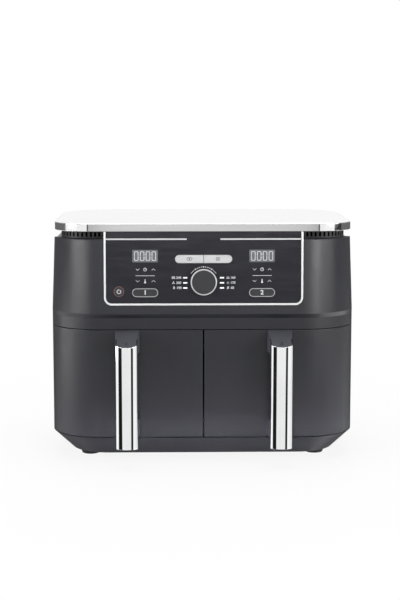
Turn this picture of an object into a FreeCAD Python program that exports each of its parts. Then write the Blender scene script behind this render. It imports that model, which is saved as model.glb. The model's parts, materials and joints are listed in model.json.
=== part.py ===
# Two-drawer countertop air fryer, modelled piece by piece at its real size, in millimetres.
# +X is to the user's right, +Y runs from the front to the back and +Z is up.
# The origin is on the surface it stands on, under the middle of the whole object.
import FreeCAD
import Part
import math
import os

V = FreeCAD.Vector
X_AXIS, Y_AXIS, Z_AXIS = V(1, 0, 0), V(0, 1, 0), V(0, 0, 1)

# Body
body_width = 415.0
body_depth = 270.0
overall_height = 325.0
foot_height = 10.0
skirt_height = 24.0
belt_height = 16.0
fascia_height = 101.0
collar_height = 9.5
lid_height = 10.5
front_corner_radius = 72.0
back_corner_radius = 40.0
wall = 3.0
seam = 0.8
slip = 0.3

# Skirt and feet
skirt_side_inset = 27.0
skirt_front_inset = 16.0
skirt_back_inset = 12.0
skirt_corner_radius = 52.0
tray_floor = 3.0
foot_radius = 15.0
foot_tip_radius = 12.0
foot_plug_radius = 5.0
foot_side_margin = 39.5
foot_end_margin = 46.0

# Fascia above the drawers
fascia_overhang = 6.0
fascia_step_height = 6.0
fascia_side_inset = 4.0
fascia_rounding = 2.5
shoulder_start = 30.0
shoulder_fall = 8.0
shoulder_run = 95.0
deck_flange = 16.0

# Lid and the vented collar under it
lid_side_inset = 6.5
lid_corner_radius = 48.0
lid_back_radius = 75.0
lid_sheet = 1.2
lid_rounding = 1.0
lid_front_proud = 0.6
lid_back_inset = 2.0
collar_inset = 9.0
collar_wall = 2.5
vent_slot_width = 2.8
vent_slot_pitch = 5.6
vent_slot_margin = 1.8

# Control panel, measured on the leaning face of the fascia
panel_side_margin = 74.5
panel_bottom_margin = 12.0
panel_corner_radius = 10.5
panel_thickness = 2.0
panel_proud = 0.2
trim_width = 2.6
trim_proud = 1.0
window_lip = 5.0
rule_height = 2.0
rule_gap = 45.0
rule_depth = 0.8
rule_drop = 10.0
display_width = 34.0
display_height = 16.6
display_margin = 55.0
display_drop = 32.5
display_corner_radius = 1.5
lens_thickness = 1.6
module_rim = 1.0
light_width = 5.6
light_height = 2.0
light_offset = 24.5
light_pitch = 6.8
light_drop = 1.3
post_radius = 3.0
post_key_gap = 14.1

# Keys and dial
zone_key_width = 35.0
zone_key_height = 12.0
key_row_rise = 17.0
power_row_rise = 18.5
power_key_radius = 7.0
power_key_margin = 20.0
pill_width = 75.6
pill_height = 10.8
pill_drop = 36.5
pill_split = 0.6
key_proud = 0.5
key_flange = 1.4
key_flange_thickness = 1.0
key_travel = 0.8
key_clearance = 0.3
switch_size = 6.0
dial_radius = 17.4
dial_ring_width = 1.5
dial_height = 9.0
dial_drop = 67.0
dial_lift = 1.6
dial_travel = 1.2
dial_stem_radius = 2.0
rotor_radius = 3.5
rotor_flange_radius = 5.5
encoder_size = 13.0
running_gap = 0.08
board_depth = 8.0
board_thickness = 1.6

# Drawers
drawer_gap = 2.0
drawer_wrap = 48.0
front_thickness = 3.0
front_rounding = 0.8
backplate_thickness = 2.5
pan_length = 206.0
pan_side_gap = 0.75
pan_back_gap = 2.5
pan_top_gap = 9.0
pan_taper = 5.0
pan_wall = 1.5
pan_corner_radius = 42.0
pan_flange = 6.0
pan_floor_lift = 7.0
pan_stud_radius = 5.0

# Handles
handle_projection = 46.0
handle_shift = 1.75
handle_width = 29.0
handle_depth = 24.0
handle_face_radius = 19.0
handle_corner_radius = 4.0
handle_root_width = 33.0
handle_drop = 17.0
handle_overrun = 6.0
handle_foot_height = 22.0
handle_head_height = 30.0
chrome_sheet = 1.2
chrome_back_margin = 2.0
screw_radius = 2.0
screw_head_radius = 3.8
screw_head_height = 2.0

# Crisper plates
plate_thickness = 2.0
plate_margin = 4.0
plate_lift = 9.0
plate_hole_radius = 4.0
plate_hole_pitch = 18.0
bumper_radius = 5.0
bumper_collar = 1.5

# Cooking bays
liner_sheet = 1.0
divider_half = 5.0
liner_side_gap = 14.0
liner_top_drop = 64.0
frame_thickness = 8.0
frame_sill = 4.0
runner_width = 4.0
runner_height = 7.0

# Heaters, fans and motors
fan_gap = 2.7
fan_height = 18.0
fan_blades = 8
blade_thickness = 1.6
hub_radius = 10.0
shaft_radius = 3.0
coil_inset = 18.0
coil_tube_radius = 3.3
coil_gap_angle = 40.0
coil_bend_radius = 8.0
guard_gap = 2.1
guard_sheet = 1.0
guard_hole_radius = 6.0
guard_ring_pitch = 15.6
guard_post_radius = 3.0
guard_drop = 46.0
motor_radius = 31.0
motor_height = 42.0
motor_rounding = 3.0
motor_flange_radius = 40.0
motor_flange_thickness = 2.5
motor_screw_circle = 36.0
cooling_fan_radius = 34.0
cooling_fan_height = 9.0
duct_width = 64.0
duct_height = 34.0
power_board_width = 62.0
power_board_length = 90.0
board_leg = 10.0
board_leg_radius = 3.0
capacitor_radius = 8.0
capacitor_height = 26.0
capacitor_pitch = 20.0
relay_length = 24.0
relay_height = 18.0

# Rear cover and cord gland
rear_side_margin = 13.5
rear_top_margin = 20.0
rear_opening_bottom = 60.0
rear_opening_radius = 14.0
rear_cover_lap = 8.0
rear_cover_thickness = 2.5
rear_slot_length = 60.0
rear_slot_width = 4.0
rear_slot_pitch = 9.0
rear_slot_count = 6
gland_margin = 14.0
gland_rise = 24.0
gland_radius = 9.0
gland_bore_radius = 3.8
gland_flange_radius = 13.0

# Heights that follow from the sizes above
skirt_top = foot_height + skirt_height
lid_bottom = overall_height - lid_height
fascia_top = lid_bottom - collar_height
fascia_base = fascia_top - fascia_height
step_z = fascia_base - fascia_step_height
drawer_top = step_z - belt_height
deck_z = fascia_top - wall
liner_top = fascia_top - liner_top_drop
shelf_z = drawer_top + seam
pan_floor = skirt_top + pan_floor_lift
pan_top = drawer_top - pan_top_gap
rear_opening_height = deck_z - rear_top_margin - rear_opening_bottom

# Depths that follow from the sizes above
y_front = (handle_projection - body_depth) / 2
y_back = y_front + body_depth
y_wrap = y_front + drawer_wrap
y_frame = y_wrap + seam
y_liner = y_frame + frame_thickness
y_backplate = y_front + front_thickness + backplate_thickness
y_pan = y_backplate + pan_flange
y_liner_back = y_pan + pan_length + pan_flange + pan_back_gap + liner_sheet
y_rear_cover = y_back - wall - rear_cover_thickness
fan_y = (y_liner + y_liner_back) / 2

# Widths that follow from the sizes above
half_width = body_width / 2
lid_width = body_width - 2 * lid_side_inset
panel_width = body_width - 2 * panel_side_margin
display_offset = panel_width / 2 - display_margin
power_key_offset = panel_width / 2 - power_key_margin
lower_post_offset = display_offset - zone_key_width / 2 - key_flange - post_key_gap
liner_inner = divider_half + liner_sheet
liner_outer = half_width - wall - liner_side_gap
bay_width = liner_outer - liner_sheet - liner_inner
bay_centre = liner_inner + bay_width / 2
pan_width = bay_width - 2 * pan_flange - 2 * pan_side_gap
handle_offset = (drawer_gap / 2 + half_width) / 2 - handle_shift
rear_opening_width = 2 * (half_width - back_corner_radius - rear_side_margin)
gland_offset = rear_opening_width / 2 - gland_margin

# Radii that follow from the smaller way across a bay
bay_depth = y_liner_back - y_liner - 2 * liner_sheet
guard_radius = min(bay_width, bay_depth) / 2 - guard_gap
coil_radius = guard_radius - coil_inset
fan_radius = coil_radius - coil_tube_radius - fan_gap

# The fascia's face leans back: its foot stands proud and its top is level with the body's front
lean = math.atan2(fascia_overhang, fascia_top - fascia_base)
panel_turn = FreeCAD.Rotation(X_AXIS, -math.degrees(lean))
panel_frame = FreeCAD.Placement(V(0, y_front - fascia_overhang, fascia_base), panel_turn)
panel_top = (lid_bottom - slip - fascia_base) / math.cos(lean) - panel_proud * math.tan(lean)
panel_bottom = panel_bottom_margin
key_row = panel_bottom + key_row_rise
power_row = panel_bottom + power_row_rise
display_z = panel_top - display_drop
pill_z = panel_top - pill_drop
dial_z = panel_top - dial_drop
rule_z = panel_top - rule_drop
panel_back = panel_thickness - panel_proud


def arc_corner(start, corner, end, radius):
    # Middle point of the rounded corner between two square sides
    inward = ((start - corner) + (end - corner)) / radius
    return corner + inward * radius * (1 - math.sqrt(0.5))


def outline(x0, x1, y0, y1, r_front, r_back, z):
    # Closed rectangle with rounded corners, seen from above
    corners = [(V(x0, y0, z), r_front, -X_AXIS, -Y_AXIS), (V(x1, y0, z), r_front, X_AXIS, -Y_AXIS)]
    corners += [(V(x1, y1, z), r_back, X_AXIS, Y_AXIS), (V(x0, y1, z), r_back, -X_AXIS, Y_AXIS)]
    edges = []
    first = last = None
    for number, (corner, radius, out_x, out_y) in enumerate(corners):
        along_x = corner - out_x * radius
        along_y = corner - out_y * radius
        start, end = (along_y, along_x) if number % 2 == 0 else (along_x, along_y)
        if last is not None:
            edges.append(Part.makeLine(last, start))
        else:
            first = start
        edges.append(Part.Arc(start, arc_corner(start, corner, end, radius), end).toShape())
        last = end
    edges.append(Part.makeLine(last, first))
    return Part.Wire(edges)


def block(x0, x1, y0, y1, z0, z1):
    return Part.makeBox(x1 - x0, y1 - y0, z1 - z0, V(x0, y0, z0))


def post(radius, x, y, z0, z1):
    return Part.makeCylinder(radius, z1 - z0, V(x, y, z0), Z_AXIS)


def rounded_block(x0, x1, y0, y1, z0, z1, radius):
    return Part.Face(outline(x0, x1, y0, y1, radius, radius, z0)).extrude(V(0, 0, z1 - z0))


def fused(shapes):
    return shapes[0].multiFuse(shapes[1:]).removeSplitter() if len(shapes) > 1 else shapes[0]


def moved(shape, x, y, z, degrees=0):
    # Turned about the vertical through the origin and then moved
    place = FreeCAD.Placement(V(x, y, z), FreeCAD.Rotation(Z_AXIS, degrees))
    return shape.transformed(place.toMatrix(), True)


def upright(shape, y, z=0):
    # A flat shape stood up to face the front, its lower side against depth y
    return shape.transformed(FreeCAD.Placement(V(0, y, z), FreeCAD.Rotation(X_AXIS, 90)).toMatrix(), True)


def on_panel(shape):
    # From the panel's own axes (Y into the body, Z up its face) to the object's
    return shape.transformed(panel_frame.toMatrix(), True)


def pill(x, z, width, height, y0, y1, radius):
    # Upright plate with rounded ends on the panel, from depth y0 to depth y1
    x0, x1 = x - width / 2, x + width / 2
    z0, z1 = z - height / 2, z + height / 2
    return upright(rounded_block(x0, x1, z0, z1, 0, y1 - y0, radius), y1)


def disc(x, z, radius, y0, y1):
    return Part.makeCylinder(radius, y1 - y0, V(x, y0, z), Y_AXIS)


def on_both_sides(make):
    return [make(side) for side in (-1, 1)]


def side_span(side, near, far):
    # Left and right limits of something between two distances from the middle
    return (-far, -near) if side < 0 else (near, far)


# Outer housing


def body_outline(inset, z):
    return outline(
        -half_width + inset,
        half_width - inset,
        y_front + inset,
        y_back - inset,
        front_corner_radius - inset,
        back_corner_radius - inset,
        z,
    )


def fascia_outline(inset, z):
    rise = (z - fascia_base) / (fascia_top - fascia_base)
    side = half_width - fascia_side_inset * rise - inset
    front = y_front - fascia_overhang * (1 - rise) + inset
    corner = front_corner_radius + fascia_overhang * (1 - rise) - inset
    return outline(-side, side, front, y_back - inset, corner, back_corner_radius - inset, z)


def envelope(inset, bottom, top):
    wires = [body_outline(inset, bottom), body_outline(inset, step_z)]
    wires += [fascia_outline(inset, fascia_base), fascia_outline(inset, top)]
    return Part.makeLoft(wires, True, True)


def top_edges(shape, z):
    return [e for e in shape.Edges if abs(e.BoundBox.ZMin - z) < 1e-6 and abs(e.BoundBox.ZMax - z) < 1e-6]


def rear_screw_places():
    x = rear_opening_width / 2 + rear_cover_lap / 2
    z_mid = rear_opening_bottom + rear_opening_height / 2
    z_far = rear_opening_height / 2 - rear_opening_radius
    return [(side * x, z_mid + share * z_far) for side in (-1, 1) for share in (-1, 0, 1)]


def base_screw_places():
    x = half_width - skirt_side_inset - foot_side_margin - 2 * foot_radius
    y = (body_depth - skirt_front_inset - skirt_back_inset) / 2 - foot_end_margin
    y_mid = (y_front + skirt_front_inset + y_back - skirt_back_inset) / 2
    return [(share * x, y_mid + end * y) for share in (-1, 0, 1) for end in (-1, 1)]


def panel_pocket(extra):
    # Space that the panel and its trim fill, open towards the lid
    width = panel_width / 2 + extra
    bottom, top = panel_bottom - extra, panel_top + collar_height
    depth = panel_back + trim_proud
    plate = rounded_block(-width, width, bottom, top, 0, depth, panel_corner_radius + extra)
    return on_panel(upright(plate, panel_back))


def window_top():
    return (deck_z - fascia_base) / math.cos(lean) - window_lip


def panel_window():
    # Way through the fascia for what is behind the panel
    width = panel_width / 2 - window_lip
    bottom = panel_bottom + window_lip
    radius = panel_corner_radius - window_lip
    plate = rounded_block(-width, width, bottom, window_top(), 0, 4 * wall, radius)
    return on_panel(upright(plate, 2 * wall))


def rear_plate(lap, depth, y):
    # Plate as large as the rear opening and a lap all round, its outer face at y
    x = rear_opening_width / 2 + lap
    z = rear_opening_height / 2 + lap
    plate = rounded_block(-x, x, -z, z, 0, depth, rear_opening_radius + lap)
    return upright(plate, y, rear_opening_bottom + rear_opening_height / 2)


def above_shoulder(depth):
    # All that is outside the collar's plinth and above the shoulder, which falls towards the back
    y0, y2 = y_front + shoulder_start, y_back + wall
    y1, high = y0 + shoulder_run, fascia_top - depth
    low, top, x = high - shoulder_fall, overall_height, half_width + wall
    points = [V(-x, y0, high), V(-x, y1, low), V(-x, y2, low), V(-x, y2, top), V(-x, y0, top)]
    space = Part.Face(Part.makePolygon(points + points[:1])).extrude(V(2 * x, 0, 0))
    plinth = Part.Face(lid_outline(collar_inset + depth, low - wall)).extrude(V(0, 0, top))
    return space.cut(plinth)


def outer_housing():
    shell = envelope(0, skirt_top, fascia_top)
    shell = shell.makeFillet(fascia_rounding, top_edges(shell, fascia_top)).cut(above_shoulder(0))
    upper = Part.makeLoft(
        [
            body_outline(wall, shelf_z + wall),
            body_outline(wall, step_z),
            fascia_outline(wall, fascia_base),
            fascia_outline(wall, deck_z),
        ],
        True,
        True,
    ).cut(above_shoulder(wall))
    lower = Part.Face(body_outline(wall, skirt_top - wall)).extrude(V(0, 0, shelf_z - skirt_top + wall))
    edge = half_width + wall
    drawers = block(-edge, edge, y_front - wall, y_frame, skirt_top - wall, shelf_z)
    side = liner_outer + slip
    bays = block(-side, side, y_liner - slip, y_liner_back + slip, shelf_z - wall, step_z)
    deck = Part.Face(lid_outline(collar_inset + deck_flange, deck_z - wall)).extrude(V(0, 0, 3 * wall))
    seat = rear_plate(rear_cover_lap + slip, rear_cover_thickness + slip, y_back - wall)
    rear = rear_plate(0, 4 * wall, y_back + 2 * wall)
    cuts = [upper, lower, drawers, bays, deck, panel_pocket(slip), panel_window(), seat, rear]
    for x, z in rear_screw_places():
        cuts.append(disc(x, z, screw_radius + slip / 2, y_back - 2 * wall, y_back + wall))
        cuts.append(disc(x, z, screw_head_radius + slip, y_back - screw_head_height, y_back + wall))
    return shell.cut(cuts)


# Base


def skirt_outline(inset, z):
    return outline(
        -half_width + skirt_side_inset + inset,
        half_width - skirt_side_inset - inset,
        y_front + skirt_front_inset + inset,
        y_back - skirt_back_inset - inset,
        skirt_corner_radius - inset,
        back_corner_radius - inset,
        z,
    )


def foot_places():
    x = half_width - skirt_side_inset - foot_side_margin + foot_radius
    y0 = y_front + skirt_front_inset + foot_end_margin
    y1 = y_back - skirt_back_inset - foot_end_margin
    return [(side * x, y) for side in (-1, 1) for y in (y0, y1)]


def base_tray():
    tray = Part.makeLoft([skirt_outline(0, foot_height), body_outline(0, skirt_top)], True, True)
    floor = foot_height + tray_floor
    hollow = Part.makeLoft([skirt_outline(wall, floor), body_outline(2 * wall, skirt_top)], True, True)
    tray = tray.cut(hollow)
    cuts = [post(foot_plug_radius + slip / 2, x, y, 0, skirt_top) for x, y in foot_places()]
    for x, y in base_screw_places():
        cuts.append(post(screw_radius + slip / 2, x, y, 0, skirt_top))
        cuts.append(post(screw_head_radius + slip, x, y, foot_height - wall, foot_height + tray_floor / 2))
    bosses = [post(2 * screw_radius + wall, x, y, floor, skirt_top) for x, y in base_screw_places()]
    return fused([tray] + bosses).cut(cuts)


def base_feet():
    feet = []
    for x, y in foot_places():
        floor = foot_height + tray_floor
        pad = Part.makeCone(foot_tip_radius, foot_radius, foot_height, V(x, y, 0), Z_AXIS)
        plug = post(foot_plug_radius, x, y, 0, floor)
        cap = post(foot_plug_radius + tray_floor / 2, x, y, floor, floor + tray_floor)
        feet.append(fused([pad, plug, cap]))
    return Part.makeCompound(feet)


def base_screws():
    screws = []
    for x, y in base_screw_places():
        head_top = foot_height + tray_floor / 2
        head = post(screw_head_radius, x, y, head_top - screw_head_height, head_top)
        shank = post(screw_radius, x, y, head_top, skirt_top - slip)
        screws.append(fused([head, shank]))
    return Part.makeCompound(screws)


# Lid and collar


def lid_outline(inset, z):
    return outline(
        -lid_width / 2 + inset,
        lid_width / 2 - inset,
        y_front - lid_front_proud + inset,
        y_back - lid_back_inset - inset,
        lid_corner_radius - inset,
        lid_back_radius - inset,
        z,
    )


def top_lid():
    lid = Part.Face(lid_outline(0, lid_bottom)).extrude(V(0, 0, lid_height))
    lid = lid.makeFillet(lid_rounding, top_edges(lid, overall_height))
    hollow = Part.Face(lid_outline(lid_sheet, lid_bottom - lid_sheet)).extrude(V(0, 0, lid_height))
    return lid.cut(hollow)


def vent_slots():
    # One slot after another round the collar, apart from behind the control panel
    half = lid_width / 2 - collar_inset
    y0 = y_front - lid_front_proud + collar_inset
    y1 = y_back - lid_back_inset - collar_inset
    radius, back_radius = lid_corner_radius - collar_inset, lid_back_radius - collar_inset
    z0, z1 = fascia_top + vent_slot_margin, lid_bottom - vent_slot_margin
    bar = block(-vent_slot_width / 2, vent_slot_width / 2, -2 * collar_wall, 2 * collar_wall, z0, z1)
    slots = []

    def place(x, y, degrees):
        slots.append(moved(bar, x, y, 0, degrees))

    side_length = y1 - y0 - radius - back_radius
    side_count = int(side_length / vent_slot_pitch)
    back_length = 2 * (half - back_radius)
    back_count = int(back_length / vent_slot_pitch)
    front_count = int((half - radius - panel_width / 2) / vent_slot_pitch)
    for side in (-1, 1):
        for number in range(front_count):
            place(side * (half - radius - (number + 0.5) * vent_slot_pitch), y0, 0)
        for number in range(side_count):
            place(side * half, y0 + radius + (number + 0.5) * side_length / side_count, 90)
        for end, y_centre, bend in ((-1, y0 + radius, radius), (1, y1 - back_radius, back_radius)):
            arc_count = int(bend * math.pi / 2 / vent_slot_pitch)
            for number in range(arc_count):
                angle = (number + 0.5) / arc_count * math.pi / 2
                x = side * (half - bend + bend * math.sin(angle))
                place(x, y_centre + end * bend * math.cos(angle), -side * end * math.degrees(angle))
    for number in range(back_count):
        place(-back_length / 2 + (number + 0.5) * back_length / back_count, y1, 0)
    return slots


def vent_collar():
    ring = Part.Face(lid_outline(collar_inset, fascia_top)).extrude(V(0, 0, collar_height))
    cap_height = lid_height - lid_sheet
    cap = Part.Face(lid_outline(lid_sheet + slip / 2, lid_bottom)).extrude(V(0, 0, cap_height))
    hollow = Part.Face(lid_outline(collar_inset + collar_wall, fascia_top - wall))
    hollow = hollow.extrude(V(0, 0, wall + collar_height + cap_height - collar_wall))
    return fused([ring, cap]).cut([hollow] + vent_slots())


# Control panel


def panel_outline_plate(inset, y0, y1, top):
    # Plate with rounded lower corners and a square top, between two depths
    width = panel_width / 2 - inset
    radius = panel_corner_radius - inset
    plate = rounded_block(-width, width, panel_bottom + inset, top + 2 * radius, 0, y1 - y0, radius)
    return upright(plate, y1).common(block(-width, width, y0, y1, panel_bottom, top))


def light_places():
    z_mid = dial_z - light_drop
    return [(side * light_offset, z_mid + step * light_pitch) for side in (-1, 1) for step in (-1, 0, 1)]


def display_plate(side, grow, y0, y1):
    width, height = display_width + 2 * grow, display_height + 2 * grow
    return pill(side * display_offset, display_z, width, height, y0, y1, display_corner_radius + grow)


def key_shapes(grow, y0, y1):
    # Plan of every key, made larger by grow, between two depths behind the panel's face
    width, height = pill_width + 2 * grow, pill_height + 2 * grow
    half_pill = pill(0, pill_z, width, height, y0, y1, 0.499 * height)
    split = pill_split / 2 - grow
    shapes = {"key_power": disc(-power_key_offset, power_row, power_key_radius + grow, y0, y1)}
    for side, zone in ((-1, 1), (1, 2)):
        width, height = zone_key_width + 2 * grow, zone_key_height + 2 * grow
        x = side * display_offset
        shapes[f"key_zone_{zone}"] = pill(x, key_row, width, height, y0, y1, 0.499 * height)
    for side, name in ((-1, "key_pair_1"), (1, "key_pair_2")):
        x0, x1 = side_span(side, split, pill_width)
        shapes[name] = half_pill.common(block(x0, x1, y0, y1, pill_z - pill_height, pill_z + pill_height))
    return shapes


def post_places():
    x = panel_width / 2 - window_lip - 2 * post_radius
    z0 = panel_bottom + window_lip + 2 * post_radius
    z1 = window_top() - 2 * post_radius
    return [(side * across, z) for side in (-1, 1) for across, z in ((lower_post_offset, z0), (x, z1))]


def control_panel():
    plate = panel_outline_plate(trim_width + slip / 2, -panel_proud, panel_back, panel_top)
    cuts = [display_plate(side, slip / 3, -wall, wall + panel_back) for side in (-1, 1)]
    cuts += list(key_shapes(key_clearance, -wall, wall + panel_back).values())
    for x, z in light_places():
        cuts.append(pill(x, z, light_width, light_height, -wall, wall, light_height / 4))
    cuts.append(disc(0, dial_z, rotor_flange_radius + key_clearance, -wall, wall + panel_back))
    cuts += rule_bars(slip / 6)
    posts = [disc(x, z, post_radius, panel_back, board_depth) for x, z in post_places()]
    return on_panel(fused([plate.cut(cuts)] + posts))


def panel_trim():
    outer = panel_outline_plate(0, -trim_proud, panel_back, panel_top)
    inner = panel_outline_plate(trim_width, -2 * trim_proud, 2 * panel_back, panel_top + wall)
    return on_panel(outer.cut(inner))


def rule_bars(grow):
    z0, z1 = rule_z - rule_height / 2 - grow, rule_z + rule_height / 2 + grow
    bars = []
    for side in (-1, 1):
        x0, x1 = side_span(side, rule_gap / 2 - grow, panel_width / 2 - trim_width - slip + grow)
        bars.append(block(x0, x1, -panel_proud - slip - grow, rule_depth + grow, z0, z1))
    return bars


def panel_rules():
    return Part.makeCompound([on_panel(bar) for bar in rule_bars(0)])


def display_lenses():
    lenses = [display_plate(side, 0, -panel_proud, lens_thickness) for side in (-1, 1)]
    return Part.makeCompound([on_panel(lens) for lens in lenses])


def display_modules():
    y0 = lens_thickness + slip
    modules = [display_plate(side, -module_rim, y0, board_depth) for side in (-1, 1)]
    return Part.makeCompound([on_panel(module) for module in modules])


def function_lights():
    width, height = light_width - slip / 3, light_height - slip / 3
    pipes = []
    for x, z in light_places():
        pipes.append(on_panel(pill(x, z, width, height, -panel_proud, board_depth, height / 4)))
    return Part.makeCompound(pipes)


def control_board():
    x = panel_width / 2 - window_lip - post_radius
    z0 = panel_bottom + window_lip + post_radius
    z1 = window_top() - post_radius
    board = block(-x, x, board_depth, board_depth + board_thickness, z0, z1)
    return on_panel(board.cut(disc(0, dial_z, dial_stem_radius + slip, 0, 2 * board_depth)))


def keys():
    flange_y = panel_back + slip / 2
    caps = key_shapes(0, -key_proud, flange_y + key_flange_thickness)
    flanges = key_shapes(key_flange, flange_y, flange_y + key_flange_thickness)
    for name in ("key_pair_1", "key_pair_2"):
        side = -1 if name == "key_pair_1" else 1
        x0, x1 = side_span(side, pill_split / 2, pill_width)
        keep = block(x0, x1, 0, board_depth, pill_z - pill_height, pill_z + pill_height)
        flanges[name] = flanges[name].common(keep)
    return {name: on_panel(fused([caps[name], flanges[name]])) for name in caps}


def switch_places():
    places = [(-power_key_offset, power_row)]
    places += [(side * display_offset, key_row) for side in (-1, 1)]
    return places + [(side * pill_width / 4, pill_z) for side in (-1, 1)]


def key_switches():
    y0 = panel_back + slip / 2 + key_flange_thickness + key_travel + slip / 2
    half = switch_size / 2
    switches = []
    for x, z in switch_places():
        switches.append(on_panel(block(x - half, x + half, y0, board_depth, z - half, z + half)))
    return Part.makeCompound(switches)


# Dial


def dial_encoder():
    half = encoder_size / 2
    body = block(-half, half, panel_back + 2 * slip, board_depth, dial_z - half, dial_z + half)
    return on_panel(body.cut(disc(0, dial_z, rotor_radius + running_gap, 0, 2 * board_depth)))


def hexagon(x, z, across, y0, y1):
    corner = across / math.sqrt(3)
    turns = [math.radians(60 * n) for n in range(7)]
    points = [V(x + corner * math.cos(t), y0, z + corner * math.sin(t)) for t in turns]
    return Part.Face(Part.makePolygon(points)).extrude(V(0, y1 - y0, 0))


def dial_rotor():
    flange = disc(0, dial_z, rotor_flange_radius, 0, panel_back + slip)
    sleeve = fused([flange, disc(0, dial_z, rotor_radius, 0, board_depth - slip)])
    socket = hexagon(0, dial_z, 2 * dial_stem_radius + 2 * running_gap, -wall, 2 * board_depth)
    return on_panel(sleeve.cut(socket))


def dial_cap():
    face = dial_radius - dial_ring_width - running_gap
    back = -panel_proud - dial_lift
    front = back - dial_height
    cap = disc(0, dial_z, face, front + dial_ring_width / 2, back - dial_ring_width)
    rim = disc(0, dial_z, dial_radius - dial_ring_width / 2, back - dial_ring_width, back)
    stem_end = board_depth - dial_travel - 2 * slip
    stem = hexagon(0, dial_z, 2 * dial_stem_radius, back - dial_ring_width, stem_end)
    return on_panel(fused([cap, rim, stem]))


def dial_ring():
    back = -panel_proud - dial_lift
    outer = disc(0, dial_z, dial_radius, back - dial_height, back - dial_ring_width)
    edges = [e for e in outer.Edges if abs(e.BoundBox.YMax - (back - dial_height)) < 1e-6]
    outer = outer.makeFillet(dial_ring_width / 3, edges)
    return on_panel(outer.cut(disc(0, dial_z, dial_radius - dial_ring_width, back - 2 * dial_height, 0)))


# Drawers


def drawer_front(side):
    # Face and wrapped corner with a closed top, bottom and inner end, open towards the pan
    z0, z1 = skirt_top + seam, drawer_top
    solid = Part.Face(body_outline(0, z0)).extrude(V(0, 0, z1 - z0))
    x0, x1 = side_span(side, drawer_gap / 2, half_width + wall)
    solid = solid.common(block(x0, x1, y_front - wall, y_wrap, z0, z1))
    solid = solid.makeFillet(front_rounding, [e for e in solid.Edges if is_face_edge(e)])
    z0, z1 = z0 + front_thickness, z1 - front_thickness
    inner = Part.Face(body_outline(front_thickness, z0)).extrude(V(0, 0, z1 - z0))
    x0, x1 = side_span(side, drawer_gap / 2 + front_thickness, half_width + wall)
    inner = inner.common(block(x0, x1, y_front, y_wrap + wall, z0, z1))
    return solid.cut([inner] + handle_bores(side, screw_radius + slip / 2, y_front + 2 * wall))


def is_face_edge(edge):
    # Edges of the visible face: its inner end, and its top and bottom as far as they follow the corner
    box = edge.BoundBox
    on_flat = box.YMax < y_front + 1e-6
    on_corner = box.YMax - box.YMin > 1 and box.XMax - box.XMin > 1
    return on_flat or on_corner


def handle_bores(side, radius, y_end):
    y0 = y_front - handle_depth / 2
    return [disc(side * handle_offset, z, radius, y0, y_end) for z in handle_screw_heights()]


def drawer_backplate(side):
    far = half_width - front_corner_radius
    x0, x1 = side_span(side, drawer_gap / 2 + front_thickness + slip, far)
    y0 = y_front + front_thickness
    z0, z1 = skirt_top + seam + front_thickness + slip, drawer_top - front_thickness - slip
    plate = block(x0, x1, y0, y0 + backplate_thickness, z0, z1)
    return plate.cut(handle_bores(side, screw_head_radius + slip, y0 + wall))


def pan_outline(side, inset, z):
    share = (pan_top - z) / (pan_top - pan_floor)
    half = pan_width / 2 - pan_taper * share - inset
    y0 = y_pan + pan_taper * share + inset
    y1 = y_pan + pan_length - pan_taper * share - inset
    corner = pan_corner_radius - inset
    return outline(side * bay_centre - half, side * bay_centre + half, y0, y1, corner, corner, z)


def drawer_pan(side):
    outer = Part.makeLoft([pan_outline(side, 0, pan_floor), pan_outline(side, 0, pan_top)], True, True)
    rim = Part.Face(pan_outline(side, -pan_flange, pan_top)).extrude(V(0, 0, -pan_wall))
    floor = pan_floor + pan_wall
    wires = [pan_outline(side, pan_wall, floor), pan_outline(side, pan_wall, pan_top)]
    inner = Part.makeLoft(wires, True, True)
    z_stud = (pan_floor + pan_top) / 2
    studs = []
    for share in (-1, 1):
        x = side * bay_centre + share * pan_width / 6
        studs.append(disc(x, z_stud, pan_stud_radius, y_backplate, y_pan + pan_taper))
    return fused([outer, rim] + studs).cut(inner)


# Handles


def handle_apex():
    return y_front - handle_projection


def handle_section(side, inset, back, z0, z1):
    # Bar with a gently curved face, rounded corners and straight flanks, seen from above
    x = side * handle_offset
    half = handle_width / 2 - inset
    face, corner = handle_face_radius - inset, handle_corner_radius - inset
    spread = math.asin((half - corner) / (face - corner))
    y_corner = handle_apex() + handle_face_radius - (face - corner) * math.cos(spread)

    def on_corner(share, turn):
        x_corner = x + share * (half - corner)
        return V(x_corner + share * corner * math.sin(turn), y_corner - corner * math.cos(turn), z0)

    left, right = [
        [on_corner(share, turn) for turn in (math.pi / 2, (math.pi / 2 + spread) / 2, spread)]
        for share in (-1, 1)
    ]
    edges = [Part.Arc(*left).toShape()]
    edges.append(Part.Arc(left[2], V(x, handle_apex() + inset, z0), right[2]).toShape())
    edges.append(Part.Arc(right[2], right[1], right[0]).toShape())
    points = [right[0], V(x + half, back, z0), V(x - half, back, z0), left[0]]
    return Part.Face(Part.Wire(edges + Part.makePolygon(points).Edges)).extrude(V(0, 0, z1 - z0))


def handle_slope():
    # Everything above the handle's sloping top
    y0, y1 = handle_apex() - wall, y_front + wall
    rise = handle_drop / handle_projection
    low = drawer_top - handle_drop - wall * rise
    high = drawer_top + wall * rise
    x, top = -half_width, overall_height
    points = [V(x, y0, low), V(x, y1, high), V(x, y1, top), V(x, y0, top), V(x, y0, low)]
    return Part.Face(Part.makePolygon(points)).extrude(V(body_width, 0, 0))


def handle_bottom():
    return skirt_top - handle_overrun


def handle_screw_heights():
    low = skirt_top + seam + front_thickness + handle_foot_height / 2
    return [low, drawer_top - handle_head_height / 2 - front_thickness]


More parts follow.
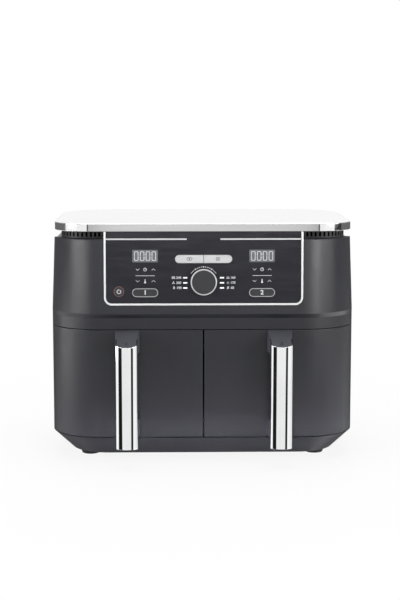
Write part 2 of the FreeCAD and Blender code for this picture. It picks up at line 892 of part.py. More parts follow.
def handle_arm(side, z0, z1):
    # Bridge from the bar back to the drawer front, wider at its root
    x = side * handle_offset
    tip, root = handle_width / 2 - chrome_sheet - slip / 3, handle_root_width / 2
    y0, y1 = handle_apex() + handle_depth / 2, y_front
    y_flare = handle_apex() + handle_depth
    points = [V(x - tip, y0, z0), V(x + tip, y0, z0), V(x + tip, y_flare, z0), V(x + root, y1, z0)]
    points += [V(x - root, y1, z0), V(x - tip, y_flare, z0), V(x - tip, y0, z0)]
    return Part.Face(Part.makePolygon(points)).extrude(V(0, 0, z1 - z0))


def handle_grip(side):
    inset, back = chrome_sheet + slip / 3, handle_apex() + handle_depth
    core = handle_section(side, inset, back, handle_bottom(), drawer_top)
    low = skirt_top + seam + front_thickness
    foot = handle_arm(side, low, low + handle_foot_height)
    head = handle_arm(side, drawer_top - handle_head_height, drawer_top)
    grip = fused([core, foot, head]).cut(handle_slope())
    return grip.cut(handle_bores(side, screw_radius + slip / 2, y_front + wall))


def handle_chrome(side):
    low, high = handle_bottom(), drawer_top
    back = handle_apex() + handle_depth
    outer = handle_section(side, 0, back - chrome_back_margin, low, high)
    inner = handle_section(side, chrome_sheet, back, low - wall, high + wall)
    return outer.cut([inner, handle_slope()])


def handle_screws(side):
    screws = []
    y0 = y_front + front_thickness
    for z in handle_screw_heights():
        head = disc(side * handle_offset, z, screw_head_radius, y0, y0 + screw_head_height)
        shank = disc(side * handle_offset, z, screw_radius, y_front - handle_depth / 2 + slip, y0)
        screws.append(fused([head, shank]))
    return Part.makeCompound(screws)


# Crisper plates


def plate_z():
    return pan_floor + pan_wall + plate_lift


def bumper_places(side):
    half_x = pan_width / 2 - pan_taper - pan_wall - plate_margin - 2 * bumper_radius - plate_margin
    y0 = y_pan + pan_taper + pan_wall + plate_margin + 2 * bumper_radius + plate_margin
    y1 = y_pan + pan_length - pan_taper - pan_wall - 2 * plate_margin - 2 * bumper_radius
    return [(side * bay_centre + dx, y) for dx in (-half_x, half_x) for y in (y0, y1)]


def crisper_plate(side):
    inset = pan_wall + plate_margin
    plate = Part.Face(pan_outline(side, inset + pan_taper, pan_top)).extrude(V(0, 0, plate_thickness))
    plate = moved(plate, 0, 0, plate_z() - pan_top)
    z0, z1 = plate_z() - wall, plate_z() + wall
    x_count = int((pan_width - 2 * pan_taper - 2 * inset - 4 * bumper_radius) / plate_hole_pitch)
    y_count = int((pan_length - 2 * pan_taper - 2 * inset - 4 * bumper_radius) / plate_hole_pitch)
    y_mid = y_pan + pan_length / 2
    holes = []
    for i in range(x_count):
        for j in range(y_count):
            x = side * bay_centre + (i - (x_count - 1) / 2) * plate_hole_pitch
            y = y_mid + (j - (y_count - 1) / 2) * plate_hole_pitch
            holes.append(post(plate_hole_radius, x, y, z0, z1))
    seats = [post(bumper_radius - bumper_collar, x, y, z0, z1) for x, y in bumper_places(side)]
    return plate.cut(holes + seats)


def plate_bumpers(side):
    bumpers = []
    neck = bumper_radius - bumper_collar - slip / 3
    for x, y in bumper_places(side):
        foot = post(bumper_radius, x, y, pan_floor + pan_wall + slip, plate_z())
        stem = post(neck, x, y, plate_z(), plate_z() + plate_thickness)
        cap = post(bumper_radius, x, y, plate_z() + plate_thickness, plate_z() + 2 * plate_thickness)
        bumpers.append(fused([foot, stem, cap]))
    return Part.makeCompound(bumpers)


# Cooking bays


def bay_frame():
    z0, z1 = skirt_top, shelf_z - slip
    frame = Part.Face(body_outline(wall + slip, z0)).extrude(V(0, 0, z1 - z0))
    frame = frame.common(block(-half_width, half_width, y_frame, y_liner, z0, z1))
    cuts = []
    for side in (-1, 1):
        x0, x1 = side_span(side, liner_inner, liner_outer - liner_sheet)
        cuts.append(block(x0, x1, y_frame - wall, y_liner + wall, z0 + frame_sill, z1 + wall))
    return frame.cut(cuts)


def cavity_liner(side):
    x0, x1 = side_span(side, divider_half, liner_outer)
    z0 = skirt_top + frame_sill - liner_sheet
    outer = block(x0, x1, y_liner, y_liner_back, z0, liner_top)
    s = liner_sheet
    inner = block(x0 + s, x1 - s, y_liner + s, y_liner_back - s, z0 + s, liner_top - s)
    mouth = block(x0 + s, x1 - s, y_liner - s, y_liner + 2 * s, z0 + s, shelf_z - slip)
    x_mid = side * bay_centre
    low, high = liner_top - 2 * s, liner_top + s
    holes = [post(2 * shaft_radius, x_mid, fan_y, low, high)]
    holes += [post(screw_radius + slip / 2, x, y, low, high) for x, y in motor_screw_places(side)]
    holes += [post(coil_tube_radius + slip, x, y, low, high) for x, y in coil_leg_places(side)]
    d0, d1 = x_mid - duct_width / 2 + s, x_mid + duct_width / 2 - s
    low, high = duct_bottom() + s, duct_bottom() + duct_height - s
    holes.append(block(d0, d1, y_liner_back - 2 * s, y_liner_back + s, low, high))
    return outer.cut([inner, mouth] + holes)


def drawer_runners():
    runners = []
    z1 = pan_top - pan_wall - slip
    for side in (-1, 1):
        for near in (liner_inner, liner_outer - liner_sheet - runner_width):
            x0, x1 = side_span(side, near, near + runner_width)
            runners.append(block(x0, x1, y_liner, y_liner_back - liner_sheet, z1 - runner_height, z1))
    return Part.makeCompound(runners)


# Heaters, fans and motors


def coil_z():
    return liner_top - guard_drop + 4 * coil_tube_radius


def coil_point(side, degrees, back=0):
    # Point on the ring, or that far behind it along the ring's tangent
    turn = math.radians(degrees)
    x = side * bay_centre + coil_radius * math.cos(turn) + back * math.sin(turn)
    return V(x, fan_y + coil_radius * math.sin(turn) - back * math.cos(turn), coil_z())


def coil_leg_places(side):
    first, last = 90 + coil_gap_angle / 2, 450 - coil_gap_angle / 2
    legs = [coil_point(side, first, coil_bend_radius), coil_point(side, last, -coil_bend_radius)]
    return [(leg.x, leg.y) for leg in legs]


def coil_bend(side, degrees, sign):
    # Quarter bend from the ring up to a leg
    ring = coil_point(side, degrees)
    leg = coil_point(side, degrees, sign * coil_bend_radius) + V(0, 0, coil_bend_radius)
    share = 1 - math.sqrt(0.5)
    middle = coil_point(side, degrees, sign * coil_bend_radius * math.sqrt(0.5))
    middle += V(0, 0, coil_bend_radius * share)
    return Part.Arc(leg, middle, ring).toShape(), leg


def heater_coil(side):
    first, last = 90 + coil_gap_angle / 2, 450 - coil_gap_angle / 2
    start_bend, start_leg = coil_bend(side, first, 1)
    end_bend, end_leg = coil_bend(side, last, -1)
    rise = V(0, 0, liner_top + 3 * coil_tube_radius - start_leg.z)
    middle = coil_point(side, (first + last) / 2)
    ring = Part.Arc(coil_point(side, first), middle, coil_point(side, last)).toShape()
    path = Part.Wire([Part.makeLine(start_leg + rise, start_leg), start_bend, ring])
    path.add(end_bend)
    path.add(Part.makeLine(end_leg, end_leg + rise))
    tube = Part.Wire(Part.makeCircle(coil_tube_radius, start_leg + rise, Z_AXIS))
    return path.makePipeShell([tube], True, False)


def guard_post_places(side):
    reach = guard_radius - 2 * guard_post_radius
    turns = [math.radians(45 + 90 * n) for n in range(4)]
    return [(side * bay_centre + reach * math.cos(t), fan_y + reach * math.sin(t)) for t in turns]


def heater_guard(side):
    z0 = liner_top - guard_drop - guard_sheet
    x_mid = side * bay_centre
    disc_plate = post(guard_radius, x_mid, fan_y, z0, z0 + guard_sheet)
    holes = []
    rings = int((guard_radius - 4 * guard_post_radius - guard_hole_radius) / guard_ring_pitch)
    for ring in range(1, rings + 1):
        radius = ring * guard_ring_pitch
        count = 6 * ring
        for number in range(count):
            turn = 2 * math.pi * number / count
            x, y = x_mid + radius * math.cos(turn), fan_y + radius * math.sin(turn)
            holes.append(post(guard_hole_radius, x, y, z0 - wall, z0 + wall))
    posts = [post(guard_post_radius, x, y, z0, liner_top - liner_sheet) for x, y in guard_post_places(side)]
    return fused([disc_plate.cut(holes)] + posts)


def fan_z():
    return liner_top - liner_sheet - fan_height - 2 * shaft_radius


def blades(side, radius, height, z0, count):
    x_mid = side * bay_centre
    parts = []
    for number in range(count):
        blade = block(hub_radius - 1, radius, -blade_thickness / 2, blade_thickness / 2, z0, z0 + height)
        turn = FreeCAD.Placement(V(x_mid, fan_y, 0), FreeCAD.Rotation(Z_AXIS, 360 / count * number))
        parts.append(blade.transformed(turn.toMatrix(), True))
    return parts


def impeller(side):
    z0 = fan_z()
    x_mid = side * bay_centre
    back = post(fan_radius, x_mid, fan_y, z0 + fan_height - blade_thickness, z0 + fan_height)
    hub = post(hub_radius, x_mid, fan_y, z0, z0 + fan_height)
    wheel = fused([back, hub] + blades(side, fan_radius, fan_height - blade_thickness / 2, z0, fan_blades))
    return wheel.cut(post(shaft_radius + running_gap, x_mid, fan_y, z0 - wall, z0 + 2 * fan_height))


def cooling_fan_z():
    return liner_top + motor_height + 2 * slip


def cooling_fan(side):
    z0 = cooling_fan_z()
    x_mid = side * bay_centre
    hub = post(hub_radius, x_mid, fan_y, z0, z0 + cooling_fan_height)
    wheel = fused([hub] + blades(side, cooling_fan_radius, cooling_fan_height, z0, fan_blades))
    return wheel.cut(post(shaft_radius + running_gap, x_mid, fan_y, z0 - wall, z0 + 2 * cooling_fan_height))


def fan_shaft(side):
    x_mid = side * bay_centre
    top = cooling_fan_z() + cooling_fan_height
    rod = post(shaft_radius, x_mid, fan_y, fan_z() - wall, top + wall)
    nut = post(2 * shaft_radius, x_mid, fan_y, fan_z() - wall, fan_z())
    cap = post(2 * shaft_radius, x_mid, fan_y, top, top + wall)
    return fused([rod, nut, cap])


def motor_screw_places(side):
    turns = [math.radians(45 + 90 * n) for n in range(4)]
    x_mid, reach = side * bay_centre, motor_screw_circle
    return [(x_mid + reach * math.cos(t), fan_y + reach * math.sin(t)) for t in turns]


def motor(side):
    x_mid = side * bay_centre
    can = post(motor_radius, x_mid, fan_y, liner_top, liner_top + motor_height)
    can = can.makeFillet(motor_rounding, top_edges(can, liner_top + motor_height))
    flange = post(motor_flange_radius, x_mid, fan_y, liner_top, liner_top + motor_flange_thickness)
    low, high = liner_top - wall, liner_top + wall
    bores = [post(shaft_radius + running_gap, x_mid, fan_y, low, liner_top + 2 * motor_height)]
    bores += [post(screw_radius + slip / 2, x, y, low, high) for x, y in motor_screw_places(side)]
    return fused([can, flange]).cut(bores)


def motor_screws():
    screws = []
    z0 = liner_top + motor_flange_thickness
    for side in (-1, 1):
        for x, y in motor_screw_places(side):
            head = post(screw_head_radius, x, y, z0, z0 + screw_head_height)
            shank = post(screw_radius, x, y, liner_top - 2 * liner_sheet, z0)
            screws.append(fused([head, shank]))
    return Part.makeCompound(screws)


def duct_bottom():
    return liner_top - duct_height - 3 * liner_sheet


def exhaust_ducts():
    ducts = []
    s = liner_sheet
    for side in (-1, 1):
        x0, x1 = side * bay_centre - duct_width / 2, side * bay_centre + duct_width / 2
        z0, z1 = duct_bottom(), duct_bottom() + duct_height
        tube = block(x0, x1, y_liner_back, y_rear_cover, z0, z1)
        ducts.append(tube.cut(block(x0 + s, x1 - s, y_liner_back - s, y_back, z0 + s, z1 - s)))
    return Part.makeCompound(ducts)


def power_board():
    x, y0 = power_board_width / 2, fan_y - power_board_length / 2
    z0 = liner_top + board_leg
    board = block(-x, x, y0, y0 + power_board_length, z0, z0 + board_thickness)
    inset = 2 * board_leg_radius
    parts = [board]
    for side in (-1, 1):
        for y in (y0 + inset, y0 + power_board_length - inset):
            parts.append(post(board_leg_radius, side * (x - inset), y, liner_top, z0))
    for y in (fan_y - capacitor_pitch, fan_y):
        parts.append(post(capacitor_radius, 0, y, z0, z0 + capacitor_height))
    y1 = y0 + power_board_length - inset
    parts.append(block(-x + inset, x - inset, y1 - relay_length, y1, z0, z0 + relay_height))
    return fused(parts)


# Rear cover and cord gland


def rear_cover():
    plate = rear_plate(rear_cover_lap, rear_cover_thickness, y_back - wall)
    y0 = y_rear_cover - wall
    cuts = [disc(x, z, screw_radius + slip / 2, y0, y_back) for x, z in rear_screw_places()]
    z_slot = duct_bottom() + duct_height / 2
    for side in (-1, 1):
        for number in range(rear_slot_count):
            z = z_slot + (number - (rear_slot_count - 1) / 2) * rear_slot_pitch
            x, end = side * bay_centre, 0.499 * rear_slot_width
            cuts.append(pill(x, z, rear_slot_length, rear_slot_width, y0, y_back, end))
    cuts.append(disc(gland_offset, gland_z(), gland_radius + slip / 3, y0, y_back))
    return plate.cut(cuts)


def rear_screws():
    screws = []
    y0 = y_back - screw_head_height
    for x, z in rear_screw_places():
        head = disc(x, z, screw_head_radius, y0, y_back)
        screws.append(fused([head, disc(x, z, screw_radius, y0 - 2 * wall, y0)]))
    return Part.makeCompound(screws)


def gland_z():
    return rear_opening_bottom + gland_rise


def cord_gland():
    y0 = y_rear_cover - wall
    barrel = disc(gland_offset, gland_z(), gland_radius, y0, y_back - wall)
    flange = disc(gland_offset, gland_z(), gland_flange_radius, y_back - wall, y_back - wall / 2)
    bore = disc(gland_offset, gland_z(), gland_bore_radius, y0 - wall, y_back + wall)
    return fused([barrel, flange]).cut(bore)


def make_parts():
    parts = {
        "outer_housing": outer_housing(),
        "base_tray": base_tray(),
        "base_feet": base_feet(),
        "base_screws": base_screws(),
        "rear_cover": rear_cover(),
        "rear_screws": rear_screws(),
        "cord_gland": cord_gland(),
        "vent_collar": vent_collar(),
        "top_lid": top_lid(),
        "control_panel": control_panel(),
        "panel_trim": panel_trim(),
        "panel_rules": panel_rules(),
        "display_lenses": display_lenses(),
        "display_modules": display_modules(),
        "function_lights": function_lights(),
        "control_board": control_board(),
        "key_switches": key_switches(),
        "dial_encoder": dial_encoder(),
        "dial_rotor": dial_rotor(),
        "dial_cap": dial_cap(),
        "dial_ring": dial_ring(),
        "power_board": power_board(),
        "bay_frame": bay_frame(),
        "drawer_runners": drawer_runners(),
        "motor_screws": motor_screws(),
        "exhaust_ducts": exhaust_ducts(),
        "heater_guards": Part.makeCompound(on_both_sides(heater_guard)),
    }
    parts.update(keys())
    for number, side in ((1, -1), (2, 1)):
        parts[f"cavity_liner_{number}"] = cavity_liner(side)
        parts[f"heater_coil_{number}"] = heater_coil(side)
        parts[f"motor_{number}"] = motor(side)
        parts[f"impeller_{number}"] = impeller(side)
        parts[f"cooling_fan_{number}"] = cooling_fan(side)
        parts[f"fan_shaft_{number}"] = fan_shaft(side)
        parts[f"drawer_front_{number}"] = drawer_front(side)
        parts[f"drawer_backplate_{number}"] = drawer_backplate(side)
        parts[f"drawer_pan_{number}"] = drawer_pan(side)
        parts[f"handle_grip_{number}"] = handle_grip(side)
        parts[f"handle_chrome_{number}"] = handle_chrome(side)
        parts[f"handle_screws_{number}"] = handle_screws(side)
        parts[f"crisper_plate_{number}"] = crisper_plate(side)
        parts[f"plate_bumpers_{number}"] = plate_bumpers(side)
    return parts


os.makedirs("parts", exist_ok=True)
for name, shape in make_parts().items():
    shape.exportStep(f"parts/{name}.step")
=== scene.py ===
import json
import math
import bpy
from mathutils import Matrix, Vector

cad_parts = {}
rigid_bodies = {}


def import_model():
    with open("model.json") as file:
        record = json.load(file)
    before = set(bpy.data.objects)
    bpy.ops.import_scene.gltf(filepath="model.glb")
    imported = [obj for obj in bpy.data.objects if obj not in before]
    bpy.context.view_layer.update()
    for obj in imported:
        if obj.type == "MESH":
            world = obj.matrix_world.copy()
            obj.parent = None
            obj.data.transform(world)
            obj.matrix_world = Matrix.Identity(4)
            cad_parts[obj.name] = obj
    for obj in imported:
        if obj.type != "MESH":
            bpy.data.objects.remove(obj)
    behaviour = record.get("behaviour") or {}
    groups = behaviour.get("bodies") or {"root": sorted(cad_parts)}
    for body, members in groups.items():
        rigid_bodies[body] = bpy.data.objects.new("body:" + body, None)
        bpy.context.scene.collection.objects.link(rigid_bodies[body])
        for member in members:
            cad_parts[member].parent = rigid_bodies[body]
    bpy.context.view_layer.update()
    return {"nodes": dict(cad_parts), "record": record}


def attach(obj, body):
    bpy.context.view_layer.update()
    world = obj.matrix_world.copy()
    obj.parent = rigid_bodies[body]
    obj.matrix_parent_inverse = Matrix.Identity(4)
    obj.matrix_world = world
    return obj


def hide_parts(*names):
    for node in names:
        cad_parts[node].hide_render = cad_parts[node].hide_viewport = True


for leftover in list(bpy.data.objects):  # the startup cube, lamp and camera
    bpy.data.objects.remove(leftover)

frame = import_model()
nodes = frame["nodes"]
subparts = frame["record"]["subparts"]
mm = 0.001
print("frame loaded:", len(nodes), "nodes")


# node helpers for the finishes

def newFinish(name):
    finish = bpy.data.materials.new(name)
    finish.use_nodes = True
    tree = finish.node_tree
    return finish, tree, tree.nodes["Principled BSDF"]


def setSockets(node, sockets):
    for label, value in sockets.items():
        node.inputs[label].default_value = value


def spot(tree, stretch=(1, 1, 1), turn=(0, 0, 0)):
    where = tree.nodes.new("ShaderNodeTexCoord")
    place = tree.nodes.new("ShaderNodeMapping")
    setSockets(place, {"Rotation": turn, "Scale": stretch})
    tree.links.new(where.outputs["Object"], place.inputs["Vector"])
    return place.outputs["Vector"]


def cloud(tree, vector, scale, detail=2.0, rough=0.5):
    noise = tree.nodes.new("ShaderNodeTexNoise")
    setSockets(noise, {"Scale": scale, "Detail": detail, "Roughness": rough})
    tree.links.new(vector, noise.inputs["Vector"])
    return noise.outputs["Fac"]


def cells(tree, vector, scale):
    pattern = tree.nodes.new("ShaderNodeTexVoronoi")
    pattern.inputs["Scale"].default_value = scale
    tree.links.new(vector, pattern.inputs["Vector"])
    return pattern.outputs["Distance"]


def toneRamp(tree, factor, stops):
    ramp = tree.nodes.new("ShaderNodeValToRGB")
    first, last = ramp.color_ramp.elements
    first.position, first.color = stops[0][0], (*stops[0][1], 1)
    last.position, last.color = stops[-1][0], (*stops[-1][1], 1)
    for position, tone in stops[1:-1]:
        ramp.color_ramp.elements.new(position).color = (*tone, 1)
    tree.links.new(factor, ramp.inputs["Fac"])
    return ramp.outputs["Color"]


# a cloud hardly leaves the middle of its range, so the change of tone is put there
cloudRange = (0.3, 0.7)


def twoTones(tree, factor, dark, light):
    return toneRamp(tree, factor, list(zip(cloudRange, (dark, light))))


def spanOf(tree, factor, low, high, start=cloudRange[0], end=cloudRange[1]):
    span = tree.nodes.new("ShaderNodeMapRange")
    setSockets(span, {"From Min": start, "From Max": end, "To Min": low, "To Max": high})
    tree.links.new(factor, span.inputs["Value"])
    return span.outputs["Result"]


def relief(tree, shader, height, strength, depth):
    bump = tree.nodes.new("ShaderNodeBump")
    setSockets(bump, {"Strength": strength, "Distance": depth * mm})
    tree.links.new(height, bump.inputs["Height"])
    tree.links.new(bump.outputs["Normal"], shader.inputs["Normal"])


def maths(tree, operation, first, second):
    node = tree.nodes.new("ShaderNodeMath")
    node.operation = operation
    tree.links.new(first, node.inputs[0])
    tree.links.new(second, node.inputs[1])
    return node.outputs["Value"]


def mixedShader(tree, factor, first, second):
    mix = tree.nodes.new("ShaderNodeMixShader")
    tree.links.new(factor, mix.inputs["Fac"])
    tree.links.new(first, mix.inputs[1])
    tree.links.new(second, mix.inputs[2])
    return mix.outputs["Shader"]


# gloss and grain of a finish whose colour is already linked
def glossAndGrain(tree, shader, vector, look, grainDetail=2):
    gloss = cloud(tree, vector, look["glossPatch"], look.get("glossDetail", 2))
    tree.links.new(spanOf(tree, gloss, *look["rough"]), shader.inputs["Roughness"])
    grain = cloud(tree, vector, look["grain"], grainDetail)
    relief(tree, shader, grain, look["grainStrength"], look["grainDepth"])
    setSockets(shader, look.get("sockets", {}))


# one finish from clouds of tone, gloss and grain
def cloudFinish(name, look):
    finish, tree, shader = newFinish(name)
    vector = spot(tree)
    patches = cloud(tree, vector, look["patch"], detail=3)
    tree.links.new(twoTones(tree, patches, look["dark"], look["light"]), shader.inputs["Base Color"])
    glossAndGrain(tree, shader, vector, look, grainDetail=1)
    return finish


finishes = {}
ink = dict(
    patch=600, glossPatch=400, rough=(0.4, 0.5), grain=3000, grainStrength=0.05, grainDepth=0.02)
plainLooks = {
    "housing_charcoal": dict(
        dark=(0.0161, 0.0163, 0.0213), light=(0.0201, 0.0203, 0.0259), patch=7,
        glossPatch=60, rough=(0.33, 0.38), grain=2400, grainStrength=0.10, grainDepth=0.08,
        sockets={"Specular IOR Level": 0.4}),
    "handle_plastic": dict(
        dark=(0.061, 0.062, 0.074), light=(0.076, 0.077, 0.091), patch=30,
        glossPatch=90, rough=(0.38, 0.46), grain=2200, grainStrength=0.18, grainDepth=0.12),
    "collar_black": dict(
        dark=(0.010, 0.010, 0.011), light=(0.016, 0.016, 0.0175), patch=40,
        glossPatch=70, rough=(0.42, 0.52), grain=1800, grainStrength=0.2, grainDepth=0.1,
        sockets={"Specular IOR Level": 0.35}),
    "key_black": dict(
        dark=(0.0165, 0.0168, 0.0205), light=(0.0195, 0.0198, 0.0240), patch=60,
        glossPatch=120, rough=(0.30, 0.34), grain=2600, grainStrength=0.03, grainDepth=0.05),
    "key_silver": dict(
        dark=(0.54, 0.54, 0.55), light=(0.58, 0.58, 0.59), patch=900,
        glossPatch=150, rough=(0.30, 0.38), grain=4200, grainStrength=0.03, grainDepth=0.04,
        sockets={"Metallic": 0.55, "Coat Weight": 0.25}),
    "chrome_trim": dict(
        dark=(0.86, 0.865, 0.87), light=(0.93, 0.93, 0.935), patch=18,
        glossPatch=26, rough=(0.025, 0.07), grain=420, grainStrength=0.012, grainDepth=0.03,
        sockets={"Metallic": 1.0}),
    "bright_trim": dict(
        dark=(0.76, 0.765, 0.77), light=(0.81, 0.81, 0.815), patch=60,
        glossPatch=90, rough=(0.28, 0.31), grain=900, grainStrength=0.006, grainDepth=0.03,
        sockets={"Metallic": 0.4}),
    "rubber_foot": dict(
        dark=(0.007, 0.007, 0.007), light=(0.013, 0.013, 0.013), patch=120,
        glossPatch=200, rough=(0.72, 0.88), grain=1500, grainStrength=0.3, grainDepth=0.15),
    "silicone": dict(
        dark=(0.012, 0.012, 0.012), light=(0.020, 0.020, 0.020), patch=140,
        glossPatch=180, rough=(0.5, 0.64), grain=1900, grainStrength=0.15, grainDepth=0.1),
    "inner_plastic": dict(
        dark=(0.013, 0.013, 0.0145), light=(0.020, 0.020, 0.0215), patch=24,
        glossPatch=80, rough=(0.46, 0.58), grain=1700, grainStrength=0.22, grainDepth=0.14),
    "component_black": dict(
        dark=(0.010, 0.010, 0.010), light=(0.018, 0.018, 0.019), patch=260,
        glossPatch=300, rough=(0.4, 0.55), grain=2800, grainStrength=0.15, grainDepth=0.08),
    "fan_plastic": dict(
        dark=(0.022, 0.022, 0.025), light=(0.032, 0.032, 0.036), patch=60,
        glossPatch=110, rough=(0.4, 0.5), grain=1600, grainStrength=0.15, grainDepth=0.1),
    "zinc_screw": dict(
        dark=(0.42, 0.42, 0.40), light=(0.60, 0.60, 0.62), patch=420,
        glossPatch=300, rough=(0.26, 0.42), grain=1500, grainStrength=0.08, grainDepth=0.06,
        sockets={"Metallic": 1.0}),
    "black_screw": dict(
        dark=(0.014, 0.014, 0.016), light=(0.030, 0.030, 0.033), patch=500,
        glossPatch=350, rough=(0.32, 0.48), grain=1800, grainStrength=0.1, grainDepth=0.06,
        sockets={"Metallic": 0.8}),
    "motor_can": dict(
        dark=(0.34, 0.34, 0.345), light=(0.46, 0.46, 0.47), patch=55,
        glossPatch=160, rough=(0.34, 0.5), grain=900, grainStrength=0.1, grainDepth=0.08,
        sockets={"Metallic": 1.0}),
    "fan_aluminium": dict(
        dark=(0.58, 0.58, 0.59), light=(0.72, 0.72, 0.73), patch=70,
        glossPatch=220, rough=(0.28, 0.42), grain=1300, grainStrength=0.08, grainDepth=0.06,
        sockets={"Metallic": 1.0}),
    "print_white": dict(ink, dark=(0.60, 0.61, 0.63), light=(0.68, 0.69, 0.71)),
    "print_grey": dict(ink, dark=(0.34, 0.345, 0.36), light=(0.42, 0.425, 0.44)),
    "print_red": dict(ink, dark=(0.15, 0.068, 0.064), light=(0.19, 0.085, 0.080)),
    "print_dark": dict(
        ink, dark=(0.008, 0.008, 0.009), light=(0.014, 0.014, 0.016), rough=(0.45, 0.55)),
}
for name, look in plainLooks.items():
    finishes[name] = cloudFinish(name, look)


# sheet steel drawn through a brush along one direction
def brushedFinish(name, look):
    finish, tree, shader = newFinish(name)
    lines = cloud(tree, spot(tree, look["lines"]), scale=1.0, detail=4, rough=0.7)
    patches = cloud(tree, spot(tree), look["patch"], detail=3)
    stops = [(0.25, look["dark"]), (0.5, look["middle"]), (0.75, look["light"])]
    tree.links.new(toneRamp(tree, lines, stops), shader.inputs["Base Color"])
    tree.links.new(spanOf(tree, patches, *look["rough"]), shader.inputs["Roughness"])
    relief(tree, shader, lines, look["lineStrength"], look["lineDepth"])
    setSockets(shader, {"Metallic": 1.0, "Anisotropic": look["anisotropic"]})
    return finish


finishes["lid_steel"] = brushedFinish("lid_steel", dict(
    dark=(0.70, 0.70, 0.705), middle=(0.77, 0.77, 0.775), light=(0.83, 0.83, 0.835), patch=5,
    rough=(0.06, 0.09), lines=(9, 1500, 1500), lineStrength=0.02, lineDepth=0.02, anisotropic=0.1))
finishes["liner_steel"] = brushedFinish("liner_steel", dict(
    dark=(0.42, 0.415, 0.40), middle=(0.50, 0.50, 0.49), light=(0.58, 0.58, 0.58), patch=14,
    rough=(0.30, 0.46), lines=(700, 700, 12), lineStrength=0.08, lineDepth=0.05, anisotropic=0.2))


# smoked gloss sheet of the panel and the displays: faint wipe marks in its gloss, slightly wavy
sheetMarks = dict(
    wipes=(30, 30, 170), wipeTurn=(0, 0.5, 0), waves=45, waveStrength=0.02, waveDepth=0.3)


def glossSheet(name, look):
    finish, tree, shader = newFinish(name)
    broad = cloud(tree, spot(tree), look["patch"])
    tree.links.new(twoTones(tree, broad, look["dark"], look["light"]), shader.inputs["Base Color"])
    across = spot(tree, sheetMarks["wipes"], sheetMarks["wipeTurn"])
    wipes = cloud(tree, across, scale=1.0, detail=5, rough=0.6)
    tree.links.new(spanOf(tree, wipes, *look["rough"]), shader.inputs["Roughness"])
    waves = cloud(tree, spot(tree), sheetMarks["waves"], detail=1)
    relief(tree, shader, waves, sheetMarks["waveStrength"], sheetMarks["waveDepth"])
    setSockets(shader, look["sockets"])
    return finish


finishes["panel_black"] = glossSheet("panel_black", dict(
    dark=(0.0155, 0.0151, 0.0202), light=(0.0197, 0.0192, 0.0248), patch=6, rough=(0.13, 0.22),
    sockets={"Coat Weight": 0.12, "Coat Roughness": 0.06, "Specular IOR Level": 0.4}))
finishes["display_glass"] = glossSheet("display_glass", dict(
    dark=(0.125, 0.128, 0.135), light=(0.165, 0.168, 0.176), patch=40, rough=(0.10, 0.18),
    sockets={"Coat Weight": 0.5, "Coat Roughness": 0.04}))


# dark non-stick coat with fine pale flecks
coat = dict(
    flecks=620, glossPatch=35, glossDetail=3, rough=(0.34, 0.48),
    grain=900, grainStrength=0.18, grainDepth=0.12,
    stops=[(0.10, (0.10, 0.10, 0.105)), (0.16, (0.022, 0.022, 0.023)), (0.8, (0.016, 0.016, 0.017))])


def nonstickFinish():
    finish, tree, shader = newFinish("nonstick")
    vector = spot(tree)
    flecks = cells(tree, vector, coat["flecks"])
    tree.links.new(toneRamp(tree, flecks, coat["stops"]), shader.inputs["Base Color"])
    glossAndGrain(tree, shader, vector, coat)
    return finish


# heater tube, blued and browned where it runs hot
heaterTube = dict(
    stain=22, glossPatch=240, rough=(0.4, 0.62), grain=700, grainStrength=0.15, grainDepth=0.1,
    stops=[(0.25, (0.10, 0.085, 0.07)), (0.45, (0.17, 0.15, 0.13)),
           (0.6, (0.12, 0.125, 0.15)), (0.8, (0.23, 0.21, 0.18))],
    sockets={"Metallic": 0.85})


def heaterFinish():
    finish, tree, shader = newFinish("heater_sheath")
    vector = spot(tree)
    stain = cloud(tree, vector, heaterTube["stain"], detail=4, rough=0.6)
    tree.links.new(toneRamp(tree, stain, heaterTube["stops"]), shader.inputs["Base Color"])
    glossAndGrain(tree, shader, vector, heaterTube)
    return finish


# green board with copper runs under its lacquer
board = dict(
    runs={"Scale": 95.0, "Mortar Size": 0.035, "Mortar Smooth": 0.2, "Bias": 0.0,
          "Color1": (0.008, 0.060, 0.026, 1), "Color2": (0.010, 0.075, 0.032, 1),
          "Mortar": (0.035, 0.16, 0.06, 1)},
    glossPatch=120, rough=(0.22, 0.36), runStrength=0.2, runDepth=0.05, sockets={"Coat Weight": 0.2})


def boardFinish():
    finish, tree, shader = newFinish("circuit_board")
    vector = spot(tree)
    runs = tree.nodes.new("ShaderNodeTexBrick")
    setSockets(runs, board["runs"])
    tree.links.new(vector, runs.inputs["Vector"])
    tree.links.new(runs.outputs["Color"], shader.inputs["Base Color"])
    gloss = cloud(tree, vector, board["glossPatch"])
    tree.links.new(spanOf(tree, gloss, *board["rough"]), shader.inputs["Roughness"])
    relief(tree, shader, runs.outputs["Fac"], board["runStrength"], board["runDepth"])
    setSockets(shader, board["sockets"])
    return finish


# parts that glow: display segments and the function lights
glow = dict(patch=380, glossPatch=250, rough=(0.3, 0.4))


def glowFinish(name, dark, light, strength):
    finish, tree, shader = newFinish(name)
    shade = twoTones(tree, cloud(tree, spot(tree), glow["patch"]), dark, light)
    tree.links.new(shade, shader.inputs["Base Color"])
    tree.links.new(shade, shader.inputs["Emission Color"])
    gloss = cloud(tree, spot(tree), glow["glossPatch"], detail=1)
    tree.links.new(spanOf(tree, gloss, *glow["rough"]), shader.inputs["Roughness"])
    setSockets(shader, {"Emission Strength": strength})
    return finish


finishes["nonstick"] = nonstickFinish()
finishes["heater_sheath"] = heaterFinish()
finishes["circuit_board"] = boardFinish()
finishes["light_pipe"] = glowFinish(
    "light_pipe", dark=(0.80, 0.82, 0.85), light=(0.90, 0.91, 0.93), strength=0.35)
finishes["lit_segment"] = glowFinish(
    "lit_segment", dark=(0.38, 0.39, 0.41), light=(0.46, 0.47, 0.49), strength=0.3)

